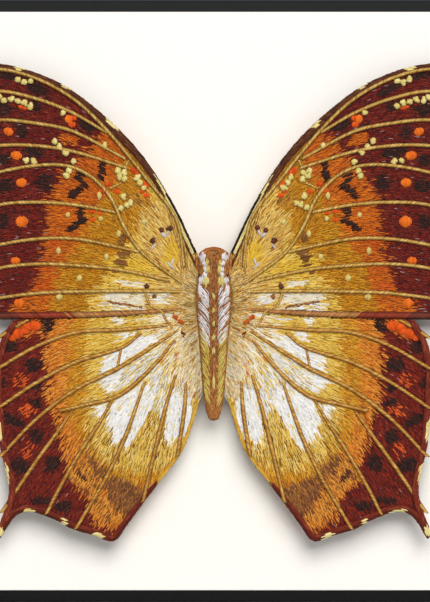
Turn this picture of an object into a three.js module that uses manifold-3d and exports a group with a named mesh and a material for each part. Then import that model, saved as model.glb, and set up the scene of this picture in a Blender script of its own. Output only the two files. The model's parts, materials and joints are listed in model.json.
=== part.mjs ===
// Framed butterfly: an embroidered butterfly stands on hidden pads in front of an off-white
// mount board, in a slim black metal frame that hangs on a wall.
// Millimetres. X points right, Z points up and the front of the picture looks along -Y.
// The wall is the plane Y = 0. The origin is on the back of the top rail, halfway along it.
import * as THREE from 'three';
import { mergeVertices } from 'three/addons/utils/BufferGeometryUtils.js';
import Module from 'manifold-3d';

const wasm = await Module();
wasm.setup();

// Frame. A 20 x 25 cm back panel sets the size of the channel that the rails form around it.
const PANEL_WIDTH = 250;
const PANEL_HEIGHT = 200;
const PANEL_CLEARANCE = 0.4;
const RAIL_WALL = 2;
const RAIL_DEPTH = 20;
const RAIL_LIP = 1.9;
const RAIL_LIP_THICKNESS = 1.55;
const RAIL_FLANGE = 4;
const RAIL_FLANGE_THICKNESS = 1.5;
const RAIL_FACE_SLOPE = 0.7;
const RAIL_ARRIS = 0.4;
const MITRE_GAP = 0.15;
const OUTER_WIDTH = PANEL_WIDTH + 2 * (PANEL_CLEARANCE + RAIL_WALL);
const OUTER_HEIGHT = PANEL_HEIGHT + 2 * (PANEL_CLEARANCE + RAIL_WALL);

// Sheets. The foam core and the hardboard panel lie behind the front lip. The mount board is stuck
// to the core and fills the opening that the lip leaves, so that its face is flush with the rails.
const SHEET_GAP = 0.05;
const BOARD_EDGE_GAP = 0.15;
const BOARD_THICKNESS = 1.5;
const CORE_THICKNESS = 9;
const PANEL_THICKNESS = 3;
const CORE_FRONT = RAIL_DEPTH - RAIL_LIP_THICKNESS - SHEET_GAP;
const PANEL_FRONT = CORE_FRONT - CORE_THICKNESS - SHEET_GAP;
const PANEL_BACK = PANEL_FRONT - PANEL_THICKNESS;
const BOARD_BACK = CORE_FRONT + SHEET_GAP;
const BOARD_FRONT = BOARD_BACK + BOARD_THICKNESS;

// Hardware at the back.
const KEY_LEG = 22;
const KEY_WIDTH = 7;
const KEY_THICKNESS = 1.5;
const CLIP_LENGTH = 44;
const CLIP_WIDTH = 9;
const CLIP_THICKNESS = 0.6;
const CLIP_STEPS = 10;
const CLIP_SPREAD = 60;
const HANGER_LENGTH = 46;
const HANGER_HEIGHT = 9;
const HANGER_THICKNESS = 0.8;
const HANGER_RISE = 1.8;
const HANGER_TAB = 9;
const HANGER_RAMP = 3;
const HANGER_DROP = 24;
const TOOTH_COUNT = 9;
const TOOTH_PITCH = 2.2;
const TOOTH_DEPTH = 2;
const SCREW_HOLE_RADIUS = 1.5;
const SCREW_SHANK_RADIUS = 1.2;
const SCREW_HEAD_RADIUS = 2.4;
const SCREW_HEAD_HEIGHT = 1.3;
const ROUND_SIDES = 12;

// Butterfly: where its layers stand, measured forwards from the wall.
const PAD_RADIUS = 4;
const PAD_HEIGHT = 6;
const PAD_SIDES = 12;
const WING_BACK = BOARD_FRONT + SHEET_GAP + PAD_HEIGHT + SHEET_GAP;
const WING_THICKNESS = 1.4;
const WING_FRONT = WING_BACK + WING_THICKNESS;
const RIDGE_ROOT = 0.3;
const EDGE_STEP = 6;
const VEIN_STEP = 9;
const FEWEST_STEPS = 3;
const VEIN_WIDTH = 1.3;
const VEIN_HEIGHT = 0.6;
const BORDER_HEIGHT = 0.9;
const FINEST_EDGE = 0.02;

// Wing edges as [distance out from the body's midline, height above the picture's centre].
const FOREWING = {
  costa: [
    [5.8, 16.4], [13.9, 33.3], [25.3, 50.7], [40, 65.3], [54, 74.8], [72.7, 80.4], [87, 79.4], [98, 74.4],
    [104, 66],
  ],
  margin: [[104, 66], [99, 56], [93.4, 42], [90, 28], [88, 14], [85.6, 2], [80.5, -6.1]],
  seam: [[80.5, -6.1], [55, -5.9], [38.7, -5.6], [20, -4.6], [6.6, -3.3]],
  root: [[6.6, -3.3], [6.5, 2], [5.8, 9], [5.8, 16.4]],
};
const HINDWING = {
  seam: [[6.6, -3.8], [20, -5.1], [38.7, -6.1], [55, -6.4], [68.2, -6.6]],
  margin: [
    [68.2, -6.6], [72.3, -13.8], [73.9, -23], [73.6, -36], [72.4, -49], [69.4, -64], [70.6, -70],
    [73.7, -78.5],
  ],
  hem: [
    [73.7, -78.5], [72.6, -80.6], [69.5, -75.7], [66.4, -72.4], [62.2, -71.4], [53.9, -74.1], [47.7, -77.3],
    [40.4, -79.5], [34.4, -81.5],
  ],
  inner: [
    [34.4, -81.5], [32.2, -80.2], [30.1, -77], [20.2, -63.5], [10.6, -50.7], [6.1, -38.2], [4.3, -31.5],
  ],
  root: [[4.3, -31.5], [4.9, -20], [5.7, -10.5], [6.6, -3.8]],
};

// Raised satin borders: the edge each one follows and its width.
const FOREWING_BORDERS = [['costa', 2.6], ['margin', 2], ['seam', 2.4]];
const HINDWING_BORDERS = [['margin', 2.4], ['hem', 2.4], ['inner', 2]];

// Vein cords, from the outer end of each towards the wing root.
const FOREWING_VEINS = [
  [
    [101, 68], [86, 77.4], [72.7, 78.2], [60.5, 75], [48.4, 68.4], [37.7, 59.3], [22.6, 41.3], [12.6, 27.5],
    [10, 12],
  ],
  [[101.5, 62], [86, 69], [72.7, 71.3], [60.5, 68.9], [48.4, 64.3], [36.5, 57.5]],
  [[97.5, 54], [85, 59.6], [72.7, 61.6], [60.5, 60.5], [48.4, 58], [30.2, 48.6]],
  [[94.2, 45], [84, 50.6], [72.7, 52.9], [60.5, 52.9], [48.4, 51.1], [29.5, 45.4]],
  [[91.5, 36], [72.7, 43.9], [51.4, 46.3], [42.3, 42.9], [35, 35.5], [30.5, 25.8], [24.7, 17.1], [11, 6.5]],
  [[89.4, 26.5], [72.7, 32.8], [59.6, 33.7], [46.6, 32.8], [33.6, 30.4]],
  [[87.7, 15.5], [72.7, 19.3], [59.6, 21.3], [46.6, 21.3], [25.6, 17]],
  [[86.2, 7.5], [72.7, 11.4], [59.6, 12.8], [46.6, 12.3], [32.2, 10.9], [15.2, 7.2]],
  [[84, -0.5], [72.7, 1.3], [59.6, 2.9], [46.6, 3.4], [28.9, 3.6], [12, 3.4]],
];
const HINDWING_VEINS = [
  [[72.9, -12.5], [68.6, -9.4], [63, -6.4]],
  [[73.5, -23], [59.6, -15.1], [46.6, -10.6], [32.2, -9.7], [15.9, -8.3]],
  [[73.5, -36.5], [59.6, -27.3], [46.6, -20.6], [30.5, -15.4], [24.7, -10.9]],
  [[72.5, -52.8], [59.6, -39.5], [46.6, -29.8], [32.2, -22.6], [12.6, -10.2]],
  [[71.8, -71.5], [61.1, -55.6], [54.4, -46.3], [47.9, -37.2]],
  [[51.9, -37.1], [43.4, -35.1], [32.2, -32], [20.8, -22.3], [13.4, -13.4]],
  [[57.2, -73], [52.9, -64.5], [45, -50.7], [38.5, -40.8], [34.4, -33.7]],
  [[47.2, -78], [43.7, -72.1], [36, -58.9], [29.9, -45.7], [23.4, -27.5]],
  [[24.6, -70.3], [19.9, -50.7], [16.2, -35.6], [13, -25.2]],
  [[12.2, -51.9], [10, -37.2], [9.4, -27.5]],
];

// Cream knots and padded satin dots on the forewing.
const KNOTS = [
  [66.5, 75.1], [64.2, 74.1], [62.1, 74.5], [72.7, 69.2], [71, 68], [68.6, 68.3], [66.5, 67.7], [64.2, 67.3],
  [62.1, 66], [51.2, 63.9], [54, 54.1], [52.3, 52.4], [50.2, 50.3], [63.5, 47.6], [61.1, 47.3], [47.5, 47.3],
  [49.2, 44.2], [49.9, 42.5], [37, 52.7], [32.5, 44.2], [30.4, 43.4], [31.9, 42.2], [30.1, 41.4],
  [26.1, 41.8], [25.1, 40.1], [23.7, 38.4], [30.5, 35.4], [31.5, 31.6], [29.5, 32.6], [28.1, 33.3],
];
const DOTS = [[69.6, 57.8], [66.9, 49.6], [65.2, 40.1], [65, 26.9], [67.2, 13.6], [65.9, -0.7], [48.9, 61.2]];
const KNOT_RADIUS = 1.1;
const KNOT_HEIGHT = 1;
const DOT_RADIUS = 2;
const DOT_HEIGHT = 0.45;
const BUMP_TAPER = 0.6;
const KNOT_SIDES = 5;
const DOT_SIDES = 8;

// Padded body: half-width at each height, from the tip up to the head.
const BODY_PROFILE = [
  [0, -40.7], [1.6, -40], [2.7, -37], [3.6, -31], [4.4, -21], [5.2, -10.5], [5.8, -5], [6.1, 1.2], [5.7, 5.5],
  [5.1, 9], [5.3, 11.5], [5.3, 14.6], [4.6, 16.6], [2.6, 17.9], [0, 18.3],
];
const BODY_SIDES = 16;
const BODY_DEPTH_RATIO = 0.5;

// Where the stand-off pads sit behind each wing. One more sits behind the middle of the body.
const FOREWING_PADS = [[30, 34], [66, 50]];
const HINDWING_PADS = [[30, -30], [54, -52]];

// Finishes.
const POWDER_COAT = { color: 0x262627, roughness: 0.55, metalness: 0.2 };
const IVORY_BOARD = { color: 0xfdfaf2, roughness: 0.9, metalness: 0 };
const FOAM = { color: 0xf1efe8, roughness: 0.9, metalness: 0 };
const HARDBOARD = { color: 0x7a5636, roughness: 0.8, metalness: 0 };
const STEEL = { color: 0xa9abad, roughness: 0.35, metalness: 0.9 };
const MAROON_THREAD = { color: 0x7c2f24, roughness: 0.8, metalness: 0 };
const GOLD_THREAD = { color: 0xb9812f, roughness: 0.8, metalness: 0 };
const BROWN_THREAD = { color: 0x8a5a34, roughness: 0.8, metalness: 0 };

const part = new THREE.Group();

// The picture's centre lies below the origin, which is on the middle of the top rail's flange.
const CENTRE_Z = (RAIL_WALL + RAIL_FLANGE) / 2 - OUTER_HEIGHT / 2;

function addPiece(name, geometry, finish) {
  geometry.translate(0, 0, CENTRE_Z);
  const mesh = new THREE.Mesh(geometry, new THREE.MeshStandardMaterial(finish));
  mesh.name = name;
  part.add(mesh);
}

// Drawn shapes lie in X and Z and grow forwards, from one distance in front of the wall to another.
function raise(points, back, front) {
  const shape = new THREE.Shape(points.map(([x, z]) => new THREE.Vector2(x, z)));
  const geometry = new THREE.ExtrudeGeometry(shape, { depth: front - back, bevelEnabled: false });
  geometry.translate(0, 0, back);
  geometry.rotateX(Math.PI / 2);
  return geometry;
}

function rectangle(width, height) {
  const x = width / 2;
  const z = height / 2;
  return [[-x, -z], [x, -z], [x, z], [-x, z]];
}

function toSolid(geometry) {
  geometry.deleteAttribute('normal');
  geometry.deleteAttribute('uv');
  const merged = mergeVertices(geometry);
  return new wasm.Manifold(new wasm.Mesh({
    numProp: 3,
    vertProperties: merged.attributes.position.array,
    triVerts: new Uint32Array(merged.index.array),
  }));
}

function fromSolid(solid) {
  const mesh = solid.simplify(FINEST_EDGE).getMesh();
  const geometry = new THREE.BufferGeometry();
  geometry.setAttribute('position', new THREE.BufferAttribute(new Float32Array(mesh.vertProperties), 3));
  geometry.setIndex(Array.from(mesh.triVerts));
  geometry.computeVertexNormals();
  return geometry;
}

// One rail: the C-section runs along X with the rail's outer edge at the top. Each end is cut to the
// mitre by moving its corner points inwards as far as they lie from the outer edge.
function railGeometry(length) {
  const face = RAIL_WALL + RAIL_LIP;
  const flange = RAIL_WALL + RAIL_FLANGE;
  const lipBack = RAIL_DEPTH - RAIL_LIP_THICKNESS;
  const shoulder = RAIL_DEPTH - RAIL_FACE_SLOPE;
  const section = [
    [0, 0], [0, shoulder - RAIL_ARRIS], [RAIL_ARRIS, shoulder], [face, RAIL_DEPTH], [face, lipBack],
    [RAIL_WALL, lipBack], [RAIL_WALL, RAIL_FLANGE_THICKNESS], [flange, RAIL_FLANGE_THICKNESS], [flange, 0],
  ];
  const shape = new THREE.Shape(section.map(([inward, forward]) => new THREE.Vector2(inward, forward)));
  const geometry = new THREE.ExtrudeGeometry(shape, { depth: 1, bevelEnabled: false });
  const place = geometry.attributes.position;
  for (let i = 0; i < place.count; i += 1) {
    const inward = place.getX(i);
    const forward = place.getY(i);
    const end = place.getZ(i) > 0 ? -1 : 1;
    place.setXYZ(i, end * (length / 2 - inward - MITRE_GAP), -forward, -inward);
  }
  geometry.computeVertexNormals();
  return geometry;
}

const RAILS = [
  ['top', OUTER_WIDTH, OUTER_HEIGHT, 0],
  ['right', OUTER_HEIGHT, OUTER_WIDTH, Math.PI / 2],
  ['bottom', OUTER_WIDTH, OUTER_HEIGHT, Math.PI],
  ['left', OUTER_HEIGHT, OUTER_WIDTH, -Math.PI / 2],
];
for (const [side, length, span, turn] of RAILS) {
  const rail = railGeometry(length);
  rail.translate(0, 0, span / 2);
  rail.rotateY(turn);
  addPiece(`frame_rail_${side}`, rail, POWDER_COAT);
}

// Corner keys lie in the rear channel, just in front of the flange, with a leg along each rail.
const KEY_BACK = RAIL_FLANGE_THICKNESS + SHEET_GAP;
const KEY_CORNER_X = PANEL_WIDTH / 2;
const KEY_CORNER_Z = PANEL_HEIGHT / 2;
const KEY_OUTLINE = [
  [0, 0], [KEY_LEG, 0], [KEY_LEG, KEY_WIDTH], [KEY_WIDTH, KEY_WIDTH], [KEY_WIDTH, KEY_LEG], [0, KEY_LEG],
];
const CORNERS = [['top_left', -1, 1], ['top_right', 1, 1], ['bottom_left', -1, -1], ['bottom_right', 1, -1]];
for (const [corner, sideX, sideZ] of CORNERS) {
  const outline = KEY_OUTLINE.map(([x, z]) => [sideX * (KEY_CORNER_X - x), sideZ * (KEY_CORNER_Z - z)]);
  addPiece(`corner_key_${corner}`, raise(outline, KEY_BACK, KEY_BACK + KEY_THICKNESS), STEEL);
}

const PANEL = rectangle(PANEL_WIDTH, PANEL_HEIGHT);
const BOARD_MARGIN = 2 * (RAIL_WALL + RAIL_LIP + BOARD_EDGE_GAP);
const BOARD = rectangle(OUTER_WIDTH - BOARD_MARGIN, OUTER_HEIGHT - BOARD_MARGIN);
addPiece('mount_board', raise(BOARD, BOARD_BACK, BOARD_FRONT), IVORY_BOARD);
addPiece('foam_core', raise(PANEL, CORE_FRONT - CORE_THICKNESS, CORE_FRONT), FOAM);
addPiece('back_panel', raise(PANEL, PANEL_BACK, PANEL_FRONT), HARDBOARD);

// Spring clips: a bowed strip whose ends press on the back panel and whose crown presses on the flange.
function clipGeometry() {
  const ends = PANEL_BACK - SHEET_GAP;
  const crown = RAIL_FLANGE_THICKNESS + SHEET_GAP;
  const fall = ends - CLIP_THICKNESS - crown;
  const bowed = (lift) => (step) => {
    const along = (2 * step) / CLIP_STEPS - 1;
    return new THREE.Vector2((along * CLIP_LENGTH) / 2, -(crown + fall * along * along + lift));
  };
  const steps = Array.from({ length: CLIP_STEPS + 1 }, (_, step) => step);
  const backEdge = steps.map(bowed(0));
  const frontEdge = steps.map(bowed(CLIP_THICKNESS)).reverse();
  const strip = new THREE.Shape([...backEdge, ...frontEdge]);
  const geometry = new THREE.ExtrudeGeometry(strip, { depth: CLIP_WIDTH, bevelEnabled: false });
  geometry.translate(0, 0, -CLIP_WIDTH);
  return geometry;
}

const CLIPS = [
  ['top_left', -CLIP_SPREAD, OUTER_HEIGHT, 0],
  ['top_right', CLIP_SPREAD, OUTER_HEIGHT, 0],
  ['right', 0, OUTER_WIDTH, Math.PI / 2],
  ['left', 0, OUTER_WIDTH, -Math.PI / 2],
  ['bottom_left', CLIP_SPREAD, OUTER_HEIGHT, Math.PI],
  ['bottom_right', -CLIP_SPREAD, OUTER_HEIGHT, Math.PI],
];
for (const [place, along, span, turn] of CLIPS) {
  const clip = clipGeometry();
  clip.translate(along, 0, span / 2 - RAIL_WALL - PANEL_CLEARANCE);
  clip.rotateY(turn);
  addPiece(`spring_clip_${place}`, clip, STEEL);
}

// Sawtooth hanger: a bent steel strip with a row of notches under its raised middle.
const HANGER_FRONT = PANEL_BACK - SHEET_GAP;
const HANGER_Z = OUTER_HEIGHT / 2 - HANGER_DROP;
const SCREW_X = HANGER_LENGTH / 2 - HANGER_TAB / 2;

function hangerGeometry() {
  const half = HANGER_LENGTH / 2;
  const bend = half - HANGER_TAB;
  const raised = bend - HANGER_RAMP;
  const line = [[-half, 0], [-bend, 0], [-raised, HANGER_RISE], [raised, HANGER_RISE], [bend, 0], [half, 0]];
  const near = line.map(([x, rise]) => new THREE.Vector2(x, -(HANGER_FRONT - rise)));
  const far = near.map((point) => new THREE.Vector2(point.x, point.y + HANGER_THICKNESS)).reverse();
  const profile = new THREE.Shape([...near, ...far]);
  const strip = new THREE.ExtrudeGeometry(profile, { depth: HANGER_HEIGHT, bevelEnabled: false });
  strip.translate(0, 0, -HANGER_HEIGHT / 2);
  const row = TOOTH_COUNT * TOOTH_PITCH;
  const teeth = [[-row / 2, -HANGER_HEIGHT]];
  for (let i = 0; i < TOOTH_COUNT; i += 1) {
    const start = (i - TOOTH_COUNT / 2) * TOOTH_PITCH;
    teeth.push([start, -HANGER_HEIGHT / 2], [start + TOOTH_PITCH / 2, TOOTH_DEPTH - HANGER_HEIGHT / 2]);
  }
  teeth.push([row / 2, -HANGER_HEIGHT / 2], [row / 2, -HANGER_HEIGHT]);
  let solid = toSolid(strip).subtract(toSolid(raise(teeth, 0, RAIL_DEPTH)));
  for (const side of [-1, 1]) {
    const drill = new THREE.CylinderGeometry(SCREW_HOLE_RADIUS, SCREW_HOLE_RADIUS, RAIL_DEPTH, ROUND_SIDES);
    drill.translate(side * SCREW_X, 0, 0);
    solid = solid.subtract(toSolid(drill));
  }
  const geometry = fromSolid(solid);
  geometry.translate(0, 0, HANGER_Z);
  return geometry;
}
addPiece('sawtooth_hanger', hangerGeometry(), STEEL);

// Hanger screws: a pan head on the strip and a shank through its hole, up to the back panel.
for (const [side, sign] of [['left', -1], ['right', 1]]) {
  const headFront = HANGER_FRONT - HANGER_THICKNESS - SHEET_GAP;
  const outline = [
    [0, -HANGER_FRONT], [SCREW_SHANK_RADIUS, -HANGER_FRONT], [SCREW_SHANK_RADIUS, -headFront],
    [SCREW_HEAD_RADIUS, -headFront], [SCREW_HEAD_RADIUS, SCREW_HEAD_HEIGHT / 2 - headFront],
    [SCREW_SHANK_RADIUS, SCREW_HEAD_HEIGHT - headFront], [0, SCREW_HEAD_HEIGHT - headFront],
  ];
  const screw = new THREE.LatheGeometry(outline.map(([r, y]) => new THREE.Vector2(r, y)), ROUND_SIDES);
  screw.translate(sign * SCREW_X, 0, HANGER_Z);
  addPiece(`hanger_screw_${side}`, screw, STEEL);
}

// Pads: short foam discs between the mount board and the butterfly.
function addPad(name, x, z) {
  const pad = new THREE.CylinderGeometry(PAD_RADIUS, PAD_RADIUS, PAD_HEIGHT, PAD_SIDES);
  pad.translate(x, -(BOARD_FRONT + SHEET_GAP + PAD_HEIGHT / 2), z);
  addPiece(name, pad, FOAM);
}

// A wing is a stitched cloth plate. Its satin borders and its vein cords stand up from it and are
// trimmed to the wing's outline.
function curveThrough(points) {
  return new THREE.CatmullRomCurve3(points.map(([x, z]) => new THREE.Vector3(x, -WING_FRONT, z)));
}

function stepsAlong(curve, step) {
  return Math.max(FEWEST_STEPS, Math.ceil(curve.getLength() / step));
}

function ridge(points, width, height, step) {
  const path = curveThrough(points);
  const section = new THREE.Shape([
    new THREE.Vector2(-RIDGE_ROOT, -width / 2), new THREE.Vector2(height, -width / 4),
    new THREE.Vector2(height, width / 4), new THREE.Vector2(-RIDGE_ROOT, width / 2),
  ]);
  return toSolid(new THREE.ExtrudeGeometry(section, { steps: stepsAlong(path, step), extrudePath: path }));
}

function bump([x, z], radius, height, sides) {
  const root = WING_FRONT - RIDGE_ROOT;
  const tall = height + RIDGE_ROOT;
  const geometry = new THREE.CylinderGeometry(radius, radius * BUMP_TAPER, tall, sides);
  geometry.translate(x, -(root + tall / 2), z);
  return toSolid(geometry);
}

function wingGeometry(edges, borders, veins, knots, dots, side) {
  const mirrored = (points) => points.map(([out, up]) => [side * out, up]);
  const outline = [];
  for (const edge of Object.values(edges)) {
    const curve = curveThrough(mirrored(edge));
    const along = curve.getSpacedPoints(stepsAlong(curve, EDGE_STEP)).map((point) => [point.x, point.z]);
    outline.push(...along.slice(0, -1));
  }
  const plate = toSolid(raise(outline, WING_BACK, WING_FRONT));
  const trim = toSolid(raise(outline, WING_BACK, WING_FRONT + 2 * BORDER_HEIGHT));
  const raised = [];
  for (const [edge, width] of borders) {
    raised.push(ridge(mirrored(edges[edge]), 2 * width, BORDER_HEIGHT, EDGE_STEP));
  }
  for (const vein of veins) {
    raised.push(ridge(mirrored(vein), VEIN_WIDTH, VEIN_HEIGHT, VEIN_STEP));
  }
  raised.push(...mirrored(knots).map((place) => bump(place, KNOT_RADIUS, KNOT_HEIGHT, KNOT_SIDES)));
  raised.push(...mirrored(dots).map((place) => bump(place, DOT_RADIUS, DOT_HEIGHT, DOT_SIDES)));
  return fromSolid(wasm.Manifold.union(raised).intersect(trim).add(plate));
}

for (const [name, side] of [['left', -1], ['right', 1]]) {
  const forewing = wingGeometry(FOREWING, FOREWING_BORDERS, FOREWING_VEINS, KNOTS, DOTS, side);
  const hindwing = wingGeometry(HINDWING, HINDWING_BORDERS, HINDWING_VEINS, [], [], side);
  addPiece(`forewing_${name}`, forewing, MAROON_THREAD);
  addPiece(`hindwing_${name}`, hindwing, GOLD_THREAD);
  FOREWING_PADS.forEach(([out, up], i) => addPad(`pad_forewing_${name}_${i + 1}`, side * out, up));
  HINDWING_PADS.forEach(([out, up], i) => addPad(`pad_hindwing_${name}_${i + 1}`, side * out, up));
}

// The body is turned about its length, flattened front to back and set down on its pad.
const bodyLine = BODY_PROFILE.map(([halfWidth, z]) => new THREE.Vector2(halfWidth, z));
const bodyTurned = new THREE.LatheGeometry(bodyLine, BODY_SIDES);
const bodyDepth = Math.max(...BODY_PROFILE.map(([r]) => r)) * BODY_DEPTH_RATIO;
bodyTurned.rotateX(Math.PI / 2);
bodyTurned.scale(1, BODY_DEPTH_RATIO, 1);
bodyTurned.translate(0, -(WING_BACK + bodyDepth), 0);
addPiece('body', bodyTurned, BROWN_THREAD);
addPad('pad_body', 0, 0);

export default part;
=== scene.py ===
# %% [markdown]
# # A thread-painted butterfly in a slim black frame
# The picture is a butterfly worked in cotton thread on stiffened cloth. It stands a few millimetres in
# front of an off-white board, inside a thin black metal frame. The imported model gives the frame, the boards
# and the wings' places. This lesson dresses it: thousands of single stitches, raised cords, knots, and the
# finishes of board, foam, hardboard and metal.

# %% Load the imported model
import json

import bpy
import numpy as np
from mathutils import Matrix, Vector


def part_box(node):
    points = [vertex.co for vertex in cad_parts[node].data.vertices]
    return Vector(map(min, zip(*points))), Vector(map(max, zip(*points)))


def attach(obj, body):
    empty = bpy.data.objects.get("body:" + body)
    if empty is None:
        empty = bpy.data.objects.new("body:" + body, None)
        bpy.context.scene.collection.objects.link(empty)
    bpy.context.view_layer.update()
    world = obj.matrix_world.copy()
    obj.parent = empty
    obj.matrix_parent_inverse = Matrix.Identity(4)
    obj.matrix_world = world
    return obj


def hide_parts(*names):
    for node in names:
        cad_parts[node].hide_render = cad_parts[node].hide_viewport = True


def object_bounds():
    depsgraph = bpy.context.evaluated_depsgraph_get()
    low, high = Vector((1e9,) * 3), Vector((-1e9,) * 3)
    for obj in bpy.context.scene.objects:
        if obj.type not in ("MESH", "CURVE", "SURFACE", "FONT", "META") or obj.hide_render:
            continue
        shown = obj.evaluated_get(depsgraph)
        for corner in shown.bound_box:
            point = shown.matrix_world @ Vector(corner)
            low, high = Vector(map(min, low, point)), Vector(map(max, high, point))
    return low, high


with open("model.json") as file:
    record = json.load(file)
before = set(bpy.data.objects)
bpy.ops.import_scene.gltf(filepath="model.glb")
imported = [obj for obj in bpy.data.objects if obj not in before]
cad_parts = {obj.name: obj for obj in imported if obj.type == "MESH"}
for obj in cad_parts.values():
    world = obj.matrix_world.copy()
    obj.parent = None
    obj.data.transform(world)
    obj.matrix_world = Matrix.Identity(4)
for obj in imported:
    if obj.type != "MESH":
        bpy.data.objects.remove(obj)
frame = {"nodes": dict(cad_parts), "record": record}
cad_low, cad_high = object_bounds()
print("packed nodes:", len(frame["nodes"]))

# %% [markdown]
# ## One drawing for both halves
# All stitching is drawn in millimetres on the picture's face: `out` from the body's midline, `up` from the
# picture's centre, and `forward` from the wall. A side of -1 or +1 turns a drawing into points of the left
# or the right half. A Mirror modifier could do that too, but then both halves would have the very same
# stitches, and handwork never has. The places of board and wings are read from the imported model, and the
# wings' cloth is 1.4 mm thick.

# %% Where the picture is
MM = 0.001
board_low, board_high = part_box("mount_board")
PICTURE_MIDDLE = (board_low.z + board_high.z) / 2 / MM
WING_BACK = -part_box("forewing_left")[1].y / MM
CLOTH = 1.4
WING_FACE = WING_BACK + CLOTH
SIDES = {"left": -1, "right": 1}


def place(out, up, forward, side):
    """Points of the model: x is out times the side, y is minus forward, z is up from the picture's middle."""
    out, up, forward = np.broadcast_arrays(out, up, forward)
    return np.stack([side * out, -forward, up + PICTURE_MIDDLE], axis=-1) * MM


print(f"picture middle at z {PICTURE_MIDDLE:.1f} mm, wing face {WING_FACE:.2f} mm in front of the wall")

# %% [markdown]
# ## The camera
# The photograph is taken straight on from far away: the rails show no inner sides and nothing converges. An
# orthographic camera would do, but a long lens two metres off is closer to the real one. The frame's full
# height fills the picture's height. The midline lies a pixel left of the photograph's middle, so the camera
# stands that much to the right.

# %% Camera
CAMERA_DISTANCE = 2.0
CAMERA_RIGHT = 0.00044
rail_front = -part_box("frame_rail_top")[0].y
frame_height = cad_high.z - cad_low.z
camera_data = bpy.data.cameras.new("photo_view")
camera = bpy.data.objects.new("photo_view", camera_data)
bpy.context.collection.objects.link(camera)
camera.location = (CAMERA_RIGHT, -rail_front - CAMERA_DISTANCE, PICTURE_MIDDLE * MM)
camera.rotation_euler = (np.pi / 2, 0, 0)
camera_data.lens = camera_data.sensor_width * CAMERA_DISTANCE / frame_height
bpy.context.scene.camera = camera
print(f"lens {camera_data.lens:.0f} mm for a frame {frame_height / MM:.1f} mm high")

# %% [markdown]
# ## Light
# The wings throw a soft shadow downwards that fades within nine millimetres. So the main light is a large
# soft panel above the picture and a little to the right, far enough away to light the white board evenly.
# It is slightly warm, and a faint cool world fills the shadow. Where the panel doesn't reach, the brown
# wings tint the board, and the cool fill brings that back to a neutral grey. A small lamp behind lights the
# back.

# %% Light and world
def soft_panel(name, place_m, size, power, colour=(1, 1, 1)):
    """A square lamp at a place, turned so that it looks at the picture's middle."""
    data = bpy.data.lights.new(name, "AREA")
    data.size = size
    data.energy = power
    data.color = colour
    lamp = bpy.data.objects.new(name, data)
    aim = np.array([0, 0, PICTURE_MIDDLE * MM]) - np.array(place_m)
    flat = np.hypot(aim[0], aim[1])
    lamp.rotation_euler = (np.pi / 2 + np.arctan2(aim[2], flat), 0, np.arctan2(-aim[0], aim[1]))
    lamp.location = place_m
    lamp.visible_camera = False
    bpy.context.collection.objects.link(lamp)


PANEL_WARMTH = (1, 0.985, 0.955)
soft_panel("main_panel", (0.55, -3.3, 2.15), 2.9, 184, PANEL_WARMTH)
soft_panel("back_panel_light", (-0.6, 2.4, 1.2), 1.6, 30)
world = bpy.data.worlds.new("cool_fill")
world.use_nodes = True
background = world.node_tree.nodes["Background"]
background.inputs["Color"].default_value = (0.84, 0.98, 1.2, 1)
background.inputs["Strength"].default_value = 0.168
bpy.context.scene.world = world
bpy.context.scene.view_settings.view_transform = "Standard"

# %% [markdown]
# ## Thread colours
# Each field of the wing is worked in a mix of a few shades of cotton. A mix here is a list of shades, each
# with its share of the stitches and its red, green and blue as on a screen. Those values are turned into
# linear light, which is what Blender's colour sockets take. Thread lit in the scene looks a little lighter
# than the value it is given, so all shades are made deeper by one factor, the dye.

# %% Shades and mixes
def shade(red, green, blue):
    """Linear light for a screen colour: the low end is divided by 12.92, the rest is a power of 2.4."""
    c = np.array([red, green, blue]) / 255
    return np.where(c <= 0.04045, c / 12.92, ((c + 0.055) / 1.055) ** 2.4)


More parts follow.
